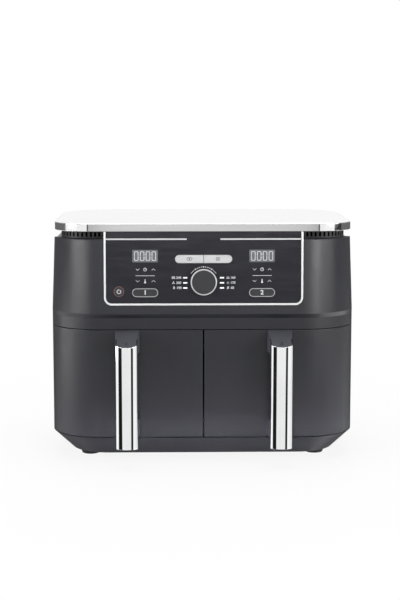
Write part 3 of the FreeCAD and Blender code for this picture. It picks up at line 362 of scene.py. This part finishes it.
# nodes whose finish isn't the one of their slot
ownFinish = {
    "panel_trim": "bright_trim", "panel_rules": "key_silver",
    "dial_ring": "key_silver", "dial_cap": "key_black",
}
for row in subparts:
    surfaces = nodes[row["node"]].data.materials
    surfaces.clear()
    surfaces.append(finishes[ownFinish.get(row["node"], row["material_slot"])])
print("finishes:", len(finishes))


# modelling helpers, all in metres

def clearPick():
    bpy.ops.object.select_all(action="DESELECT")


def editMode():
    bpy.ops.object.mode_set(mode="EDIT")
    bpy.ops.mesh.select_all(action="SELECT")


def objectMode():
    bpy.ops.object.mode_set(mode="OBJECT")


# leaves only the chosen points selected, in edit mode
def pickPoints(piece, wanted):
    bpy.ops.object.mode_set(mode="EDIT")
    bpy.ops.mesh.select_all(action="DESELECT")
    bpy.ops.object.mode_set(mode="OBJECT")
    for point in piece.data.vertices:
        point.select = wanted(point.co)
    bpy.ops.object.mode_set(mode="EDIT")


def thicken(thick):
    bpy.ops.mesh.select_all(action="SELECT")
    bpy.ops.mesh.extrude_region_move(TRANSFORM_OT_translate={"value": (0, 0, thick)})
    bpy.ops.mesh.select_all(action="SELECT")
    bpy.ops.mesh.normals_make_consistent(inside=False)


def shift(x, y):
    bpy.ops.mesh.select_all(action="SELECT")
    bpy.ops.transform.translate(value=(x, y, 0))


# flat plate with rounded corners, lying in XY
def roundPlate(x, y, width, height, radius, thick, line=None):
    clearPick()
    bpy.ops.mesh.primitive_plane_add(size=1)
    piece = bpy.context.object
    editMode()
    bpy.ops.transform.resize(value=(width, height, 1), center_override=(0, 0, 0))
    bpy.ops.mesh.bevel(offset=radius, segments=6, affect="VERTICES")
    if line:  # only a line along the edge is kept
        bpy.ops.mesh.select_all(action="SELECT")
        bpy.ops.mesh.inset(thickness=line)
        bpy.ops.mesh.delete(type="FACE")
    thicken(thick)
    shift(x, y)
    objectMode()
    return piece


# flat disc or ring lying in XY
def roundDisc(x, y, radius, thick, line=None, corners=40):
    clearPick()
    bpy.ops.mesh.primitive_circle_add(vertices=corners, radius=radius, fill_type="NGON")
    piece = bpy.context.object
    editMode()
    if line:
        bpy.ops.mesh.inset(thickness=line)
        bpy.ops.mesh.delete(type="FACE")
    thicken(thick)
    shift(x, y)
    objectMode()
    return piece


# strip bent at its middle, lying in XY; rise is how far the middle is above the ends
def chevron(x, y, width, line, rise, thick):
    clearPick()
    bpy.ops.mesh.primitive_plane_add(size=1)
    piece = bpy.context.object
    editMode()
    bpy.ops.transform.resize(value=(width, line, 1), center_override=(0, 0, 0))
    bpy.ops.mesh.subdivide(number_cuts=1)
    objectMode()
    pickPoints(piece, lambda point: abs(point.x) < width * 0.1)  # the middle of the strip
    bpy.ops.transform.translate(value=(0, rise, 0))
    thicken(thick)
    shift(x, y)
    objectMode()
    return piece


def turned(piece, degrees):
    piece.rotation_euler.z = math.radians(degrees)
    return piece


# as far from x and y as reach, in the direction of turn
def around(piece, x, y, reach, turn):
    piece.location = (x + reach * math.cos(turn), y + reach * math.sin(turn), 0)
    return piece


def copied(piece, x, y):
    twin = piece.copy()
    twin.data = piece.data.copy()
    twin.location.x += x
    twin.location.y += y
    bpy.context.scene.collection.objects.link(twin)
    return twin


def joined(name, parts):
    clearPick()
    for part in parts:
        part.select_set(True)
    bpy.context.view_layer.objects.active = parts[0]
    bpy.ops.object.transform_apply(location=True, rotation=True, scale=True)
    if len(parts) > 1:
        bpy.ops.object.join()
    parts[0].name = name
    parts[0].data.name = name
    return parts[0]


def finishPiece(piece, body, finishName):
    clearPick()
    piece.select_set(True)
    bpy.context.view_layer.objects.active = piece
    bpy.ops.object.transform_apply(location=True, rotation=True, scale=True)
    piece.data.materials.clear()
    piece.data.materials.append(finishes[finishName])
    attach(piece, body)


# from a flat drawing to the leaning face of the control panel, or of the keys that stand out of it
panelFace = dict(origin=(0, -118 * mm, 204 * mm), lean=math.atan2(6, 101))
onSheet, onKey = 0.2 * mm, 0.5 * mm


def ontoPanel(piece, lift, body, finishName):
    lean = panelFace["lean"]
    x, y, z = panelFace["origin"]
    piece.rotation_euler = (math.pi / 2 - lean, 0, 0)
    piece.location = (x, y - lift * math.cos(lean), z + lift * math.sin(lean))
    finishPiece(piece, body, finishName)


# displays: four zeros and a colon, each zero of six bars; the gaps are shares of the stroke
digits = dict(
    x=78 * mm, y=77.9 * mm, width=5.9 * mm, height=12.6 * mm, pitch=7.8 * mm, thick=0.06 * mm,
    stroke=1.05 * mm, endGap=1.3, sideGap=0.9, dot=0.9 * mm, dotRound=0.2 * mm, dotStep=2.2 * mm)


def segment(length):
    stroke = digits["stroke"]
    clearPick()
    bpy.ops.mesh.primitive_circle_add(vertices=6, radius=stroke / math.sqrt(3), fill_type="NGON")
    piece = bpy.context.object
    editMode()
    bpy.ops.transform.rotate(value=math.pi / 2, orient_axis="Z", center_override=(0, 0, 0))
    objectMode()
    for half in (-1, 1):  # the two halves are pulled apart
        pickPoints(piece, lambda point: point.x * half > 1e-7)
        bpy.ops.transform.translate(value=(half * (length - stroke) / 2, 0, 0))
        objectMode()
    editMode()
    thicken(digits["thick"])
    objectMode()
    return piece


def zeroDigit():
    wide, tall, stroke = digits["width"], digits["height"], digits["stroke"]
    parts = []
    for side in (1, -1):
        end = segment(wide - stroke * digits["endGap"])
        end.location.y = side * (tall - stroke) / 2
        parts.append(end)
    for sideX in (-1, 1):
        for sideY in (-1, 1):
            bar = turned(segment(tall / 2 - stroke * digits["sideGap"]), 90)
            bar.location = (sideX * (wide - stroke) / 2, sideY * (tall - stroke) / 4, 0)
            parts.append(bar)
    return joined("zeroDigit", parts)


firstZero = zeroDigit()
zeros = []
for side in (-1, 1):
    x, y, dot = side * digits["x"], digits["y"], digits["dot"]
    for place in (-1.5, -0.5, 0.5, 1.5):
        zeros.append(copied(firstZero, x + place * digits["pitch"], y))
    for step in (-digits["dotStep"], digits["dotStep"]):
        zeros.append(roundPlate(x, y + step, dot, dot, digits["dotRound"], digits["thick"]))
bpy.data.objects.remove(firstZero)
ontoPanel(joined("displayDigits", zeros), onSheet, "housing", "lit_segment")
print("displays done")


# arrows beside the clock and the thermometer
arrowSet = dict(
    rows=(60.0 * mm, 44.5 * mm), down=(-88 * mm, 68 * mm), up=(-67 * mm, 88 * mm),
    width=4.7 * mm, line=0.6 * mm, rise=2.1 * mm, thick=0.05 * mm)
arrows = []
for y in arrowSet["rows"]:
    for rise, places in ((-arrowSet["rise"], arrowSet["down"]), (arrowSet["rise"], arrowSet["up"])):
        for x in places:
            middle = y - rise / 2
            arrows.append(chevron(
                x, middle, arrowSet["width"], arrowSet["line"], rise, arrowSet["thick"]))
ontoPanel(joined("adjustArrows", arrows), onSheet, "housing", "print_white")

# clock over thermometer with a rule between them; plates are given as x, y, width, height, radius
symbols = dict(
    x=78 * mm, thick=0.05 * mm, ring=2.3 * mm, ringLine=0.55 * mm,
    hands=((0, 0.65 * mm, 0.5 * mm, 1.5 * mm, 0.15 * mm),
           (0.5 * mm, 0, 1.3 * mm, 0.5 * mm, 0.15 * mm)),
    tube=(0, 0.7 * mm, 1.5 * mm, 4.0 * mm, 0.7 * mm), tubeLine=0.4 * mm,
    filling=(0, -0.2 * mm, 0.5 * mm, 2.2 * mm, 0.2 * mm), bulb=1.3 * mm, bulbDown=1.6 * mm,
    rule=(0, 51.7 * mm, 25.4 * mm, 0.55 * mm, 0.2 * mm))


def symbolPlate(x, y, plate, line=None):
    across, up, width, height, radius = plate
    return roundPlate(x + across, y + up, width, height, radius, symbols["thick"], line)


marks = []
clockY, heatY = arrowSet["rows"]
for side in (-1, 1):
    x, thick = side * symbols["x"], symbols["thick"]
    marks.append(roundDisc(x, clockY, symbols["ring"], thick, symbols["ringLine"]))
    marks += [symbolPlate(x, clockY, hand) for hand in symbols["hands"]]
    marks.append(symbolPlate(x, heatY, symbols["tube"], symbols["tubeLine"]))
    marks.append(roundDisc(x, heatY - symbols["bulbDown"], symbols["bulb"], thick))
    marks.append(symbolPlate(x, heatY, symbols["filling"]))
    marks.append(symbolPlate(x, 0, symbols["rule"]))
ontoPanel(joined("adjustSymbols", marks), onSheet, "housing", "print_white")
print("arrows and symbols done")


# plain numbers; their height is a share of the letter size, bold a share of their height
figureShare = 0.7


def plainNumber(text, x, y, size, thick, bold=0.02):
    clearPick()
    bpy.ops.object.text_add()
    words = bpy.context.object
    words.data.body = text
    words.data.size = size / figureShare
    words.data.align_x = "CENTER"
    words.data.align_y = "CENTER"
    words.data.extrude = thick / 2
    words.data.offset = size * bold
    bpy.ops.object.convert(target="MESH")
    number = bpy.context.object
    number.location = (x, y, thick / 2)
    return number


# zone keys: outline and plain number on each key
zoneKey = dict(
    x=78 * mm, y=29 * mm, width=34.4 * mm, height=11.4 * mm, line=0.85 * mm,
    round=0.49, number=5.8 * mm, bold=0.045, thick=0.05 * mm)
for zone, side in ((1, -1), (2, 1)):
    x, y, thick = side * zoneKey["x"], zoneKey["y"], zoneKey["thick"]
    radius = zoneKey["height"] * zoneKey["round"]
    outline = roundPlate(x, y, zoneKey["width"], zoneKey["height"], radius, thick, zoneKey["line"])
    number = plainNumber(str(zone), x, y, zoneKey["number"], thick, zoneKey["bold"])
    key = f"key_zone_{zone}"
    ontoPanel(joined(f"zoneMark{zone}", [outline]), onKey, key, "print_grey")
    ontoPanel(joined(f"zoneNumber{zone}", [number]), onKey, key, "print_white")

# power key: red ring round the usual sign
powerKey = dict(
    x=-113 * mm, y=30.5 * mm, ring=6.9 * mm, ringLine=0.75 * mm, sign=3.0 * mm, signLine=0.9 * mm,
    gap=1.2 * mm, stemUp=2.1 * mm, stem=(0.8 * mm, 2.8 * mm), stemRound=0.3 * mm, thick=0.05 * mm)
x, y, thick = powerKey["x"], powerKey["y"], powerKey["thick"]
ring = roundDisc(x, y, powerKey["ring"], thick, powerKey["ringLine"])
ontoPanel(joined("powerRing", [ring]), onKey, "key_power", "print_red")
sign = roundDisc(0, 0, powerKey["sign"], thick, powerKey["signLine"])
pickPoints(sign, lambda point: point.y > 0 and abs(point.x) < powerKey["gap"])
bpy.ops.mesh.delete(type="VERT")  # the ring is open at its top
bpy.ops.mesh.select_all(action="SELECT")
bpy.ops.mesh.fill_holes(sides=0)
bpy.ops.mesh.normals_make_consistent(inside=False)
shift(x, y)
objectMode()
stem = roundPlate(x, y + powerKey["stemUp"], *powerKey["stem"], powerKey["stemRound"], thick)
ontoPanel(joined("powerSign", [sign, stem]), onKey, "key_power", "print_white")

# silver pair of keys: linked rings on one, twin bars on the other
pairKey = dict(
    x=19 * mm, y=73.9 * mm, ring=2.2 * mm, ringLine=0.55 * mm, ringStep=1.5 * mm,
    bar=(5.6 * mm, 1.1 * mm), barRound=0.4 * mm, barStep=1.3 * mm, thick=0.05 * mm)
x, y, thick = pairKey["x"], pairKey["y"], pairKey["thick"]
links, bars = [], []
for side in (-1, 1):
    across, up = side * pairKey["ringStep"], side * pairKey["barStep"]
    links.append(roundDisc(-x + across, y, pairKey["ring"], thick, pairKey["ringLine"]))
    bars.append(roundPlate(x, y + up, *pairKey["bar"], pairKey["barRound"], thick))
ontoPanel(joined("pairMark1", links), onKey, "key_pair_1", "print_dark")
ontoPanel(joined("pairMark2", bars), onKey, "key_pair_2", "print_dark")
print("keys marked")


# dial: dots over it, each fourth one larger, and a tick at each end of their arc; turns in degrees
dial = dict(
    y=43.4 * mm, reach=20.0 * mm, dots=9, spread=33, dot=0.7 * mm, largeDot=0.95 * mm, dotCorners=16,
    tickTurn=48, tick=6.4 * mm, line=0.6 * mm, lineRound=0.4, thick=0.05 * mm)
scale = []
for number in range(dial["dots"]):
    turn = math.radians(90 + dial["spread"] - 2 * dial["spread"] * number / (dial["dots"] - 1))
    radius = dial["dot"] if number % 4 else dial["largeDot"]
    dot = roundDisc(0, 0, radius, dial["thick"], corners=dial["dotCorners"])
    scale.append(around(dot, 0, dial["y"], dial["reach"], turn))
for side in (-1, 1):
    lineRound = dial["line"] * dial["lineRound"]
    tick = roundPlate(0, 0, dial["tick"], dial["line"], lineRound, dial["thick"])
    lean = -side * dial["tickTurn"]
    scale.append(turned(around(tick, 0, dial["y"], dial["reach"], math.radians(90 + lean)), lean))
ontoPanel(joined("dialScale", scale), onSheet, "housing", "print_white")


# signs beside the six lights, three on each side of the dial; each is drawn round its own middle
functionSigns = dict(
    rows=(48.9 * mm, 42.1 * mm, 35.3 * mm), inner=30.0 * mm, wide=5.0 * mm, gap=1.2 * mm,
    number=3.1 * mm, line=0.6 * mm, thick=0.05 * mm)
signLine, signThick = functionSigns["line"], functionSigns["thick"]
waves = dict(steps=(-1.3 * mm, -0.2 * mm, 0.9 * mm), width=4.4 * mm, rise=0.7 * mm)
flame = dict(radius=1.25 * mm, corners=24, tipFrom=1.05 * mm, tipRise=1.2 * mm, down=0.4 * mm)
sun = dict(radius=0.9 * mm, line=0.4 * mm, corners=20, rays=8, reach=1.65 * mm,
           ray=(0.7 * mm, 0.35 * mm), rayRound=0.12 * mm)
fan = dict(hub=0.5 * mm, corners=16, blades=3, reach=1.25 * mm,
           blade=(1.7 * mm, 0.9 * mm), bladeRound=0.42 * mm)
tray = dict(down=1.0 * mm, plate=(4.6 * mm, 0.6 * mm), plateRound=0.25 * mm,
            up=0.5 * mm, food=(3.2 * mm, 1.6 * mm), foodRound=0.6 * mm, foodLine=0.45 * mm)
slash = dict(bar=(4.4 * mm, 0.45 * mm), barRound=0.2 * mm, turn=45)


def wavesSign(x, y):
    width, rise = waves["width"], waves["rise"]
    return [chevron(x, y + step, width, signLine, rise, signThick) for step in waves["steps"]]


def flameSign(x, y):
    drop = roundDisc(0, 0, flame["radius"], signThick, signLine, flame["corners"])
    pickPoints(drop, lambda point: point.y > flame["tipFrom"])
    bpy.ops.transform.translate(value=(0, flame["tipRise"], 0))
    shift(x, y - flame["down"])
    objectMode()
    return [drop]


def sunSign(x, y):
    parts = [roundDisc(x, y, sun["radius"], signThick, sun["line"], sun["corners"])]
    for number in range(sun["rays"]):
        turn = 360 * number / sun["rays"]
        ray = turned(roundPlate(0, 0, *sun["ray"], sun["rayRound"], signThick), turn)
        parts.append(around(ray, x, y, sun["reach"], math.radians(turn)))
    return parts


def fanSign(x, y):
    parts = [roundDisc(x, y, fan["hub"], signThick, corners=fan["corners"])]
    for number in range(fan["blades"]):
        turn = 90 + 360 * number / fan["blades"]
        blade = turned(roundPlate(0, 0, *fan["blade"], fan["bladeRound"], signThick), turn)
        parts.append(around(blade, x, y, fan["reach"], math.radians(turn)))
    return parts


def traySign(x, y):
    plate = roundPlate(x, y - tray["down"], *tray["plate"], tray["plateRound"], signThick)
    food = roundPlate(
        x, y + tray["up"], *tray["food"], tray["foodRound"], signThick, tray["foodLine"])
    return [plate, food]


def dropSign(x, y):
    bar = turned(roundPlate(0, 0, *slash["bar"], slash["barRound"], signThick), slash["turn"])
    bar.location = (x, y, 0)
    return flameSign(x, y) + [bar]


# side, row, sign, and the heat it stands for as a plain number
functionRows = [
    (-1, 0, wavesSign, "240"), (-1, 1, fanSign, "200"), (-1, 2, flameSign, "190"),
    (1, 0, traySign, "160"), (1, 1, sunSign, "170"), (1, 2, dropSign, "60"),
]
signs = []
for side, row, drawing, heat in functionRows:
    y = functionSigns["rows"][row]
    number = plainNumber(heat, 0, y, functionSigns["number"], signThick)
    inner, wide, gap = (functionSigns[name] for name in ("inner", "wide", "gap"))
    length = number.dimensions.x
    if side < 0:  # the number is next to its light, the sign beyond it
        numberX, signX = inner + length / 2, inner + length + gap + wide / 2
    else:
        numberX, signX = inner + wide + gap + length / 2, inner + wide / 2
    number.location.x = side * numberX
    signs += [number] + drawing(side * signX, y)
ontoPanel(joined("functionSigns", signs), onSheet, "housing", "print_white")
print("dial scale and function signs done")


# plain numbers on the sloping tops of the handles
handleTop = dict(
    x=102.5 * mm, apex=-158 * mm, low=165 * mm, slope=math.atan2(17, 46), back=10 * mm,
    size=7 * mm, bold=0.06, thick=0.05 * mm)
for drawer, side in ((1, -1), (2, 1)):
    figure = plainNumber(str(drawer), 0, 0, handleTop["size"], handleTop["thick"], handleTop["bold"])
    number = joined(f"handleNumber{drawer}", [figure])
    slope, back = handleTop["slope"], handleTop["back"]
    number.rotation_euler = (slope, 0, 0)
    height = handleTop["low"] + back * math.tan(slope)
    number.location = (side * handleTop["x"], handleTop["apex"] + back, height)
    finishPiece(number, f"drawer_{drawer}", "print_dark")
print("handles numbered")


# copies of CAD nodes with their sharp edges eased, in millimetres
easedEdges = {
    "panel_trim": 0.35, "top_lid": 0.3, "base_tray": 0.9, "base_feet": 0.8, "dial_cap": 0.35,
    "rear_cover": 0.4, "cord_gland": 0.4,
    "handle_grip_1": 0.5, "handle_grip_2": 0.5, "handle_chrome_1": 0.3, "handle_chrome_2": 0.3,
    "key_power": 0.2, "key_zone_1": 0.2, "key_zone_2": 0.2, "key_pair_1": 0.3, "key_pair_2": 0.3,
}
# flat, sharp and smooth are angles in degrees
easing = dict(merge=0.004 * mm, flat=0.4, sharp=40, smooth=38, segments=2, faceWeight=100)
bodies = frame["record"]["behaviour"]["bodies"]
bodyOf = {node: body for body, members in bodies.items() for node in members}


def easedCopy(node, width):
    clearPick()
    piece = bpy.data.objects.new(node + "_eased", nodes[node].data.copy())
    bpy.context.scene.collection.objects.link(piece)
    piece.select_set(True)
    bpy.context.view_layer.objects.active = piece
    bpy.ops.mesh.customdata_custom_splitnormals_clear()
    editMode()
    bpy.ops.mesh.remove_doubles(threshold=easing["merge"])
    bpy.ops.mesh.select_all(action="SELECT")
    bpy.ops.mesh.dissolve_limited(angle_limit=math.radians(easing["flat"]))
    objectMode()
    edge = piece.modifiers.new("edge", "BEVEL")
    edge.width = width * mm
    edge.segments = easing["segments"]
    edge.limit_method = "ANGLE"
    edge.angle_limit = math.radians(easing["sharp"])
    bpy.ops.object.modifier_apply(modifier="edge")
    bpy.ops.object.shade_smooth_by_angle(angle=math.radians(easing["smooth"]))
    even = piece.modifiers.new("even", "WEIGHTED_NORMAL")
    even.weight = easing["faceWeight"]  # large faces stay flat up to their eased edges
    even.keep_sharp = True
    bpy.ops.object.modifier_apply(modifier="even")
    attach(piece, bodyOf[node])
    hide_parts(node)


for node, width in easedEdges.items():
    easedCopy(node, width)
print("edges eased:", len(easedEdges))


# floor: paper that keeps the object's shadow near it and turns plain white further out
paper = dict(
    radius=3.2, corners=96, down=0.4 * mm, dark=(0.80, 0.80, 0.80), light=(0.82, 0.82, 0.82), patch=3,
    rough=0.9, white=(0.88, 1.0), whiteFrom=0.2, whiteTo=0.7)


def floorFinish():
    finish, tree, shader = newFinish("paper_floor")
    tone = twoTones(tree, cloud(tree, spot(tree), paper["patch"]), paper["dark"], paper["light"])
    tree.links.new(tone, shader.inputs["Base Color"])
    setSockets(shader, {"Roughness": paper["rough"], "Specular IOR Level": 0.0})
    reach = tree.nodes.new("ShaderNodeVectorMath")
    reach.operation = "LENGTH"
    tree.links.new(spot(tree), reach.inputs[0])
    distance = reach.outputs["Value"]
    white = spanOf(tree, distance, *paper["white"], paper["whiteFrom"], paper["whiteTo"])
    rays = tree.nodes.new("ShaderNodeLightPath")
    seen = maths(tree, "MULTIPLY", rays.outputs["Is Camera Ray"], white)
    plain = tree.nodes.new("ShaderNodeEmission")
    surface = mixedShader(tree, seen, shader.outputs["BSDF"], plain.outputs["Emission"])
    tree.links.new(surface, tree.nodes["Material Output"].inputs["Surface"])
    return finish


clearPick()
bpy.ops.mesh.primitive_circle_add(
    vertices=paper["corners"], radius=paper["radius"], fill_type="NGON",
    location=(0, 0, -paper["down"]))
floor = bpy.context.object
floor.name = "paperFloor"
floor.data.materials.append(floorFinish())
floor.visible_glossy = False


# studio seen in the shiny parts: bands of pale screens and dark gaps. A band holds directions in
# degrees, from the front to the right, each with its brightness
surround = {
    "deep": [(-180, 0.5), (180, 0.5)],
    "floor": [
        (-180, 0.2), (-130, 0.2), (-118, 1.3), (-72, 1.3), (-50, 0.25), (50, 0.25), (72, 2.4),
        (118, 2.4), (130, 0.2), (180, 0.2)],
    "low": [
        (-180, 0.1), (-150, 0.1), (-122, 0.6), (-104, 0.9), (-72, 1.0), (-69, 0.01), (-40, 0.01),
        (-37, 0.84), (33, 0.84), (36, 0.01), (51, 0.01), (54, 0.92), (74, 0.92), (82, 0.8),
        (122, 0.8), (150, 0.1), (180, 0.1)],
    "level": [
        (-180, 0.14), (-88, 0.16), (-82, 1.0), (-9, 1.0), (-8, 0.0), (-4.4, 0.0), (-3.8, 0.76),
        (6, 0.70), (6.6, 0.0), (10.4, 0.0), (11.4, 1.0), (60, 1.0), (63, 0.03), (88, 0.03),
        (92, 0.16), (180, 0.14)],
    "high": [(-180, 0.12), (180, 0.12)],
    "rear": [
        (-180, 0.93), (-162, 0.93), (-135, 0.6), (-100, 0.5), (-85, 0.12), (85, 0.12), (100, 0.5),
        (135, 0.6), (162, 0.93), (180, 0.93)],
    "sky": [(-180, 0.62), (-40, 0.52), (40, 0.52), (180, 0.62)],
}
# the height at which each band takes over from the one below, in degrees
bandHeights = (
    ("floor", -62), ("low", -16), ("level", -8), ("high", -3), ("rear", 2), ("high", 14), ("sky", 22))
studio = dict(lowest="deep", bandBlend=1, shine=1.1, soft=(0.12, 0.12, 0.122), clean=(1, 1, 1))


def studioWorld():
    world = bpy.data.worlds.new("studio")
    bpy.context.scene.world = world
    world.use_nodes = True
    tree = world.node_tree
    where = tree.nodes.new("ShaderNodeTexCoord")
    split = tree.nodes.new("ShaderNodeSeparateXYZ")
    front = tree.nodes.new("ShaderNodeMath")
    front.operation = "MULTIPLY"
    front.inputs[1].default_value = -1.0  # the front looks along -Y
    tree.links.new(where.outputs["Generated"], split.inputs["Vector"])
    tree.links.new(split.outputs["Y"], front.inputs[0])
    turn = maths(tree, "ARCTAN2", split.outputs["X"], front.outputs["Value"])
    direction = spanOf(tree, turn, 0.0, 1.0, -math.pi, math.pi)

    def band(name):
        stops = [(0.5 + degrees / 360, (tone, tone, tone)) for degrees, tone in surround[name]]
        return toneRamp(tree, direction, stops)

    def above(lower, upper, start):
        limits = [math.sin(math.radians(degrees)) for degrees in (start, start + studio["bandBlend"])]
        mix = tree.nodes.new("ShaderNodeMix")
        mix.data_type = "RGBA"
        tree.links.new(spanOf(tree, split.outputs["Z"], 0.0, 1.0, *limits), mix.inputs["Factor"])
        tree.links.new(lower, mix.inputs["A"])
        tree.links.new(upper, mix.inputs["B"])
        return mix.outputs["Result"]

    shade = band(studio["lowest"])
    for name, start in bandHeights:
        shade = above(shade, band(name), start)
    shiny = tree.nodes.new("ShaderNodeBackground")
    tree.links.new(shade, shiny.inputs["Color"])
    shiny.inputs["Strength"].default_value = studio["shine"]
    soft = tree.nodes["Background"]
    soft.inputs["Color"].default_value = (*studio["soft"], 1)
    clean = tree.nodes.new("ShaderNodeBackground")
    clean.inputs["Color"].default_value = (*studio["clean"], 1)
    rays = tree.nodes.new("ShaderNodeLightPath").outputs
    lit = mixedShader(
        tree, rays["Is Glossy Ray"], soft.outputs["Background"], shiny.outputs["Background"])
    direct = maths(tree, "MAXIMUM", rays["Is Camera Ray"], rays["Is Transmission Ray"])
    surface = mixedShader(tree, direct, lit, clean.outputs["Background"])
    tree.links.new(surface, tree.nodes["World Output"].inputs["Surface"])


studioWorld()

# lamps in watts; one without shine isn't seen in shiny parts, and spread is a beam's angle in degrees
lamps = {
    "wideLeft": dict(place=(-1.65, -0.95, 0.5), aim=(0, 0, 0.22), size=(1.1, 0.6), power=19),
    "wideRight": dict(place=(1.65, -0.95, 0.5), aim=(0, 0, 0.22), size=(1.1, 0.6), power=9.5),
    "stripRight": dict(place=(1.22, -1.55, 0.5), aim=(0, 0, 0.22), size=(0.42, 0.5), power=12.5),
    "frontSheet": dict(place=(0, -2.6, 0.7), aim=(0, 0, 0.25), size=(2.4, 0.25), power=11),
    "topSheet": dict(place=(0, 0, 1.7), aim=(0, 0, 0.3), size=(1.4, 1.2), power=18),
    "lowBeam": dict(
        place=(0, -1.5, 0.1), aim=(0, -0.112, 0.02), size=(0.9, 0.08), power=0.26,
        shine=False, spread=10),
    "skirtBeam": dict(
        place=(0, -1.5, 0.043), aim=(0, -0.112, 0.04), size=(0.9, 0.004), power=0.12,
        shine=False, spread=3),
    "rearSheet": dict(place=(0, 1.9, 1.9), aim=(0, 0, 0.2), size=(1.6, 0.8), power=26),
    "sideLeft": dict(place=(-0.9, -0.1, 0.06), aim=(0, -0.1, 0.09), size=(0.5, 0.1), power=0.6),
}
for name, lamp in lamps.items():
    light = bpy.data.lights.new(name, "AREA")
    light.shape = "RECTANGLE"
    light.size, light.size_y = lamp["size"]
    light.energy = lamp["power"]
    light.spread = math.radians(lamp.get("spread", 180))
    rig = bpy.data.objects.new(name, light)
    bpy.context.scene.collection.objects.link(rig)
    rig.location = lamp["place"]
    away = rig.location - Vector(lamp["aim"])
    rig.rotation_euler = away.to_track_quat("Z", "Y").to_euler()
    rig.visible_glossy = lamp.get("shine", True)
    rig.visible_camera = False
print("studio lit")

# camera where the photographer stood; turned down and to the right, in degrees
camera = dict(place=(-0.0429, -2.0239, 0.4805), down=7.686, right=1.142, lens=86.49, sensor=36)
eye = bpy.data.cameras.new("eye")
eye.lens = camera["lens"]
eye.sensor_width = camera["sensor"]
stand = bpy.data.objects.new("eye", eye)
bpy.context.scene.collection.objects.link(stand)
stand.location = camera["place"]
stand.rotation_euler = (math.radians(90 - camera["down"]), 0, math.radians(-camera["right"]))
bpy.context.scene.camera = stand

bpy.context.scene.view_settings.view_transform = "Standard"
print("scene ready")
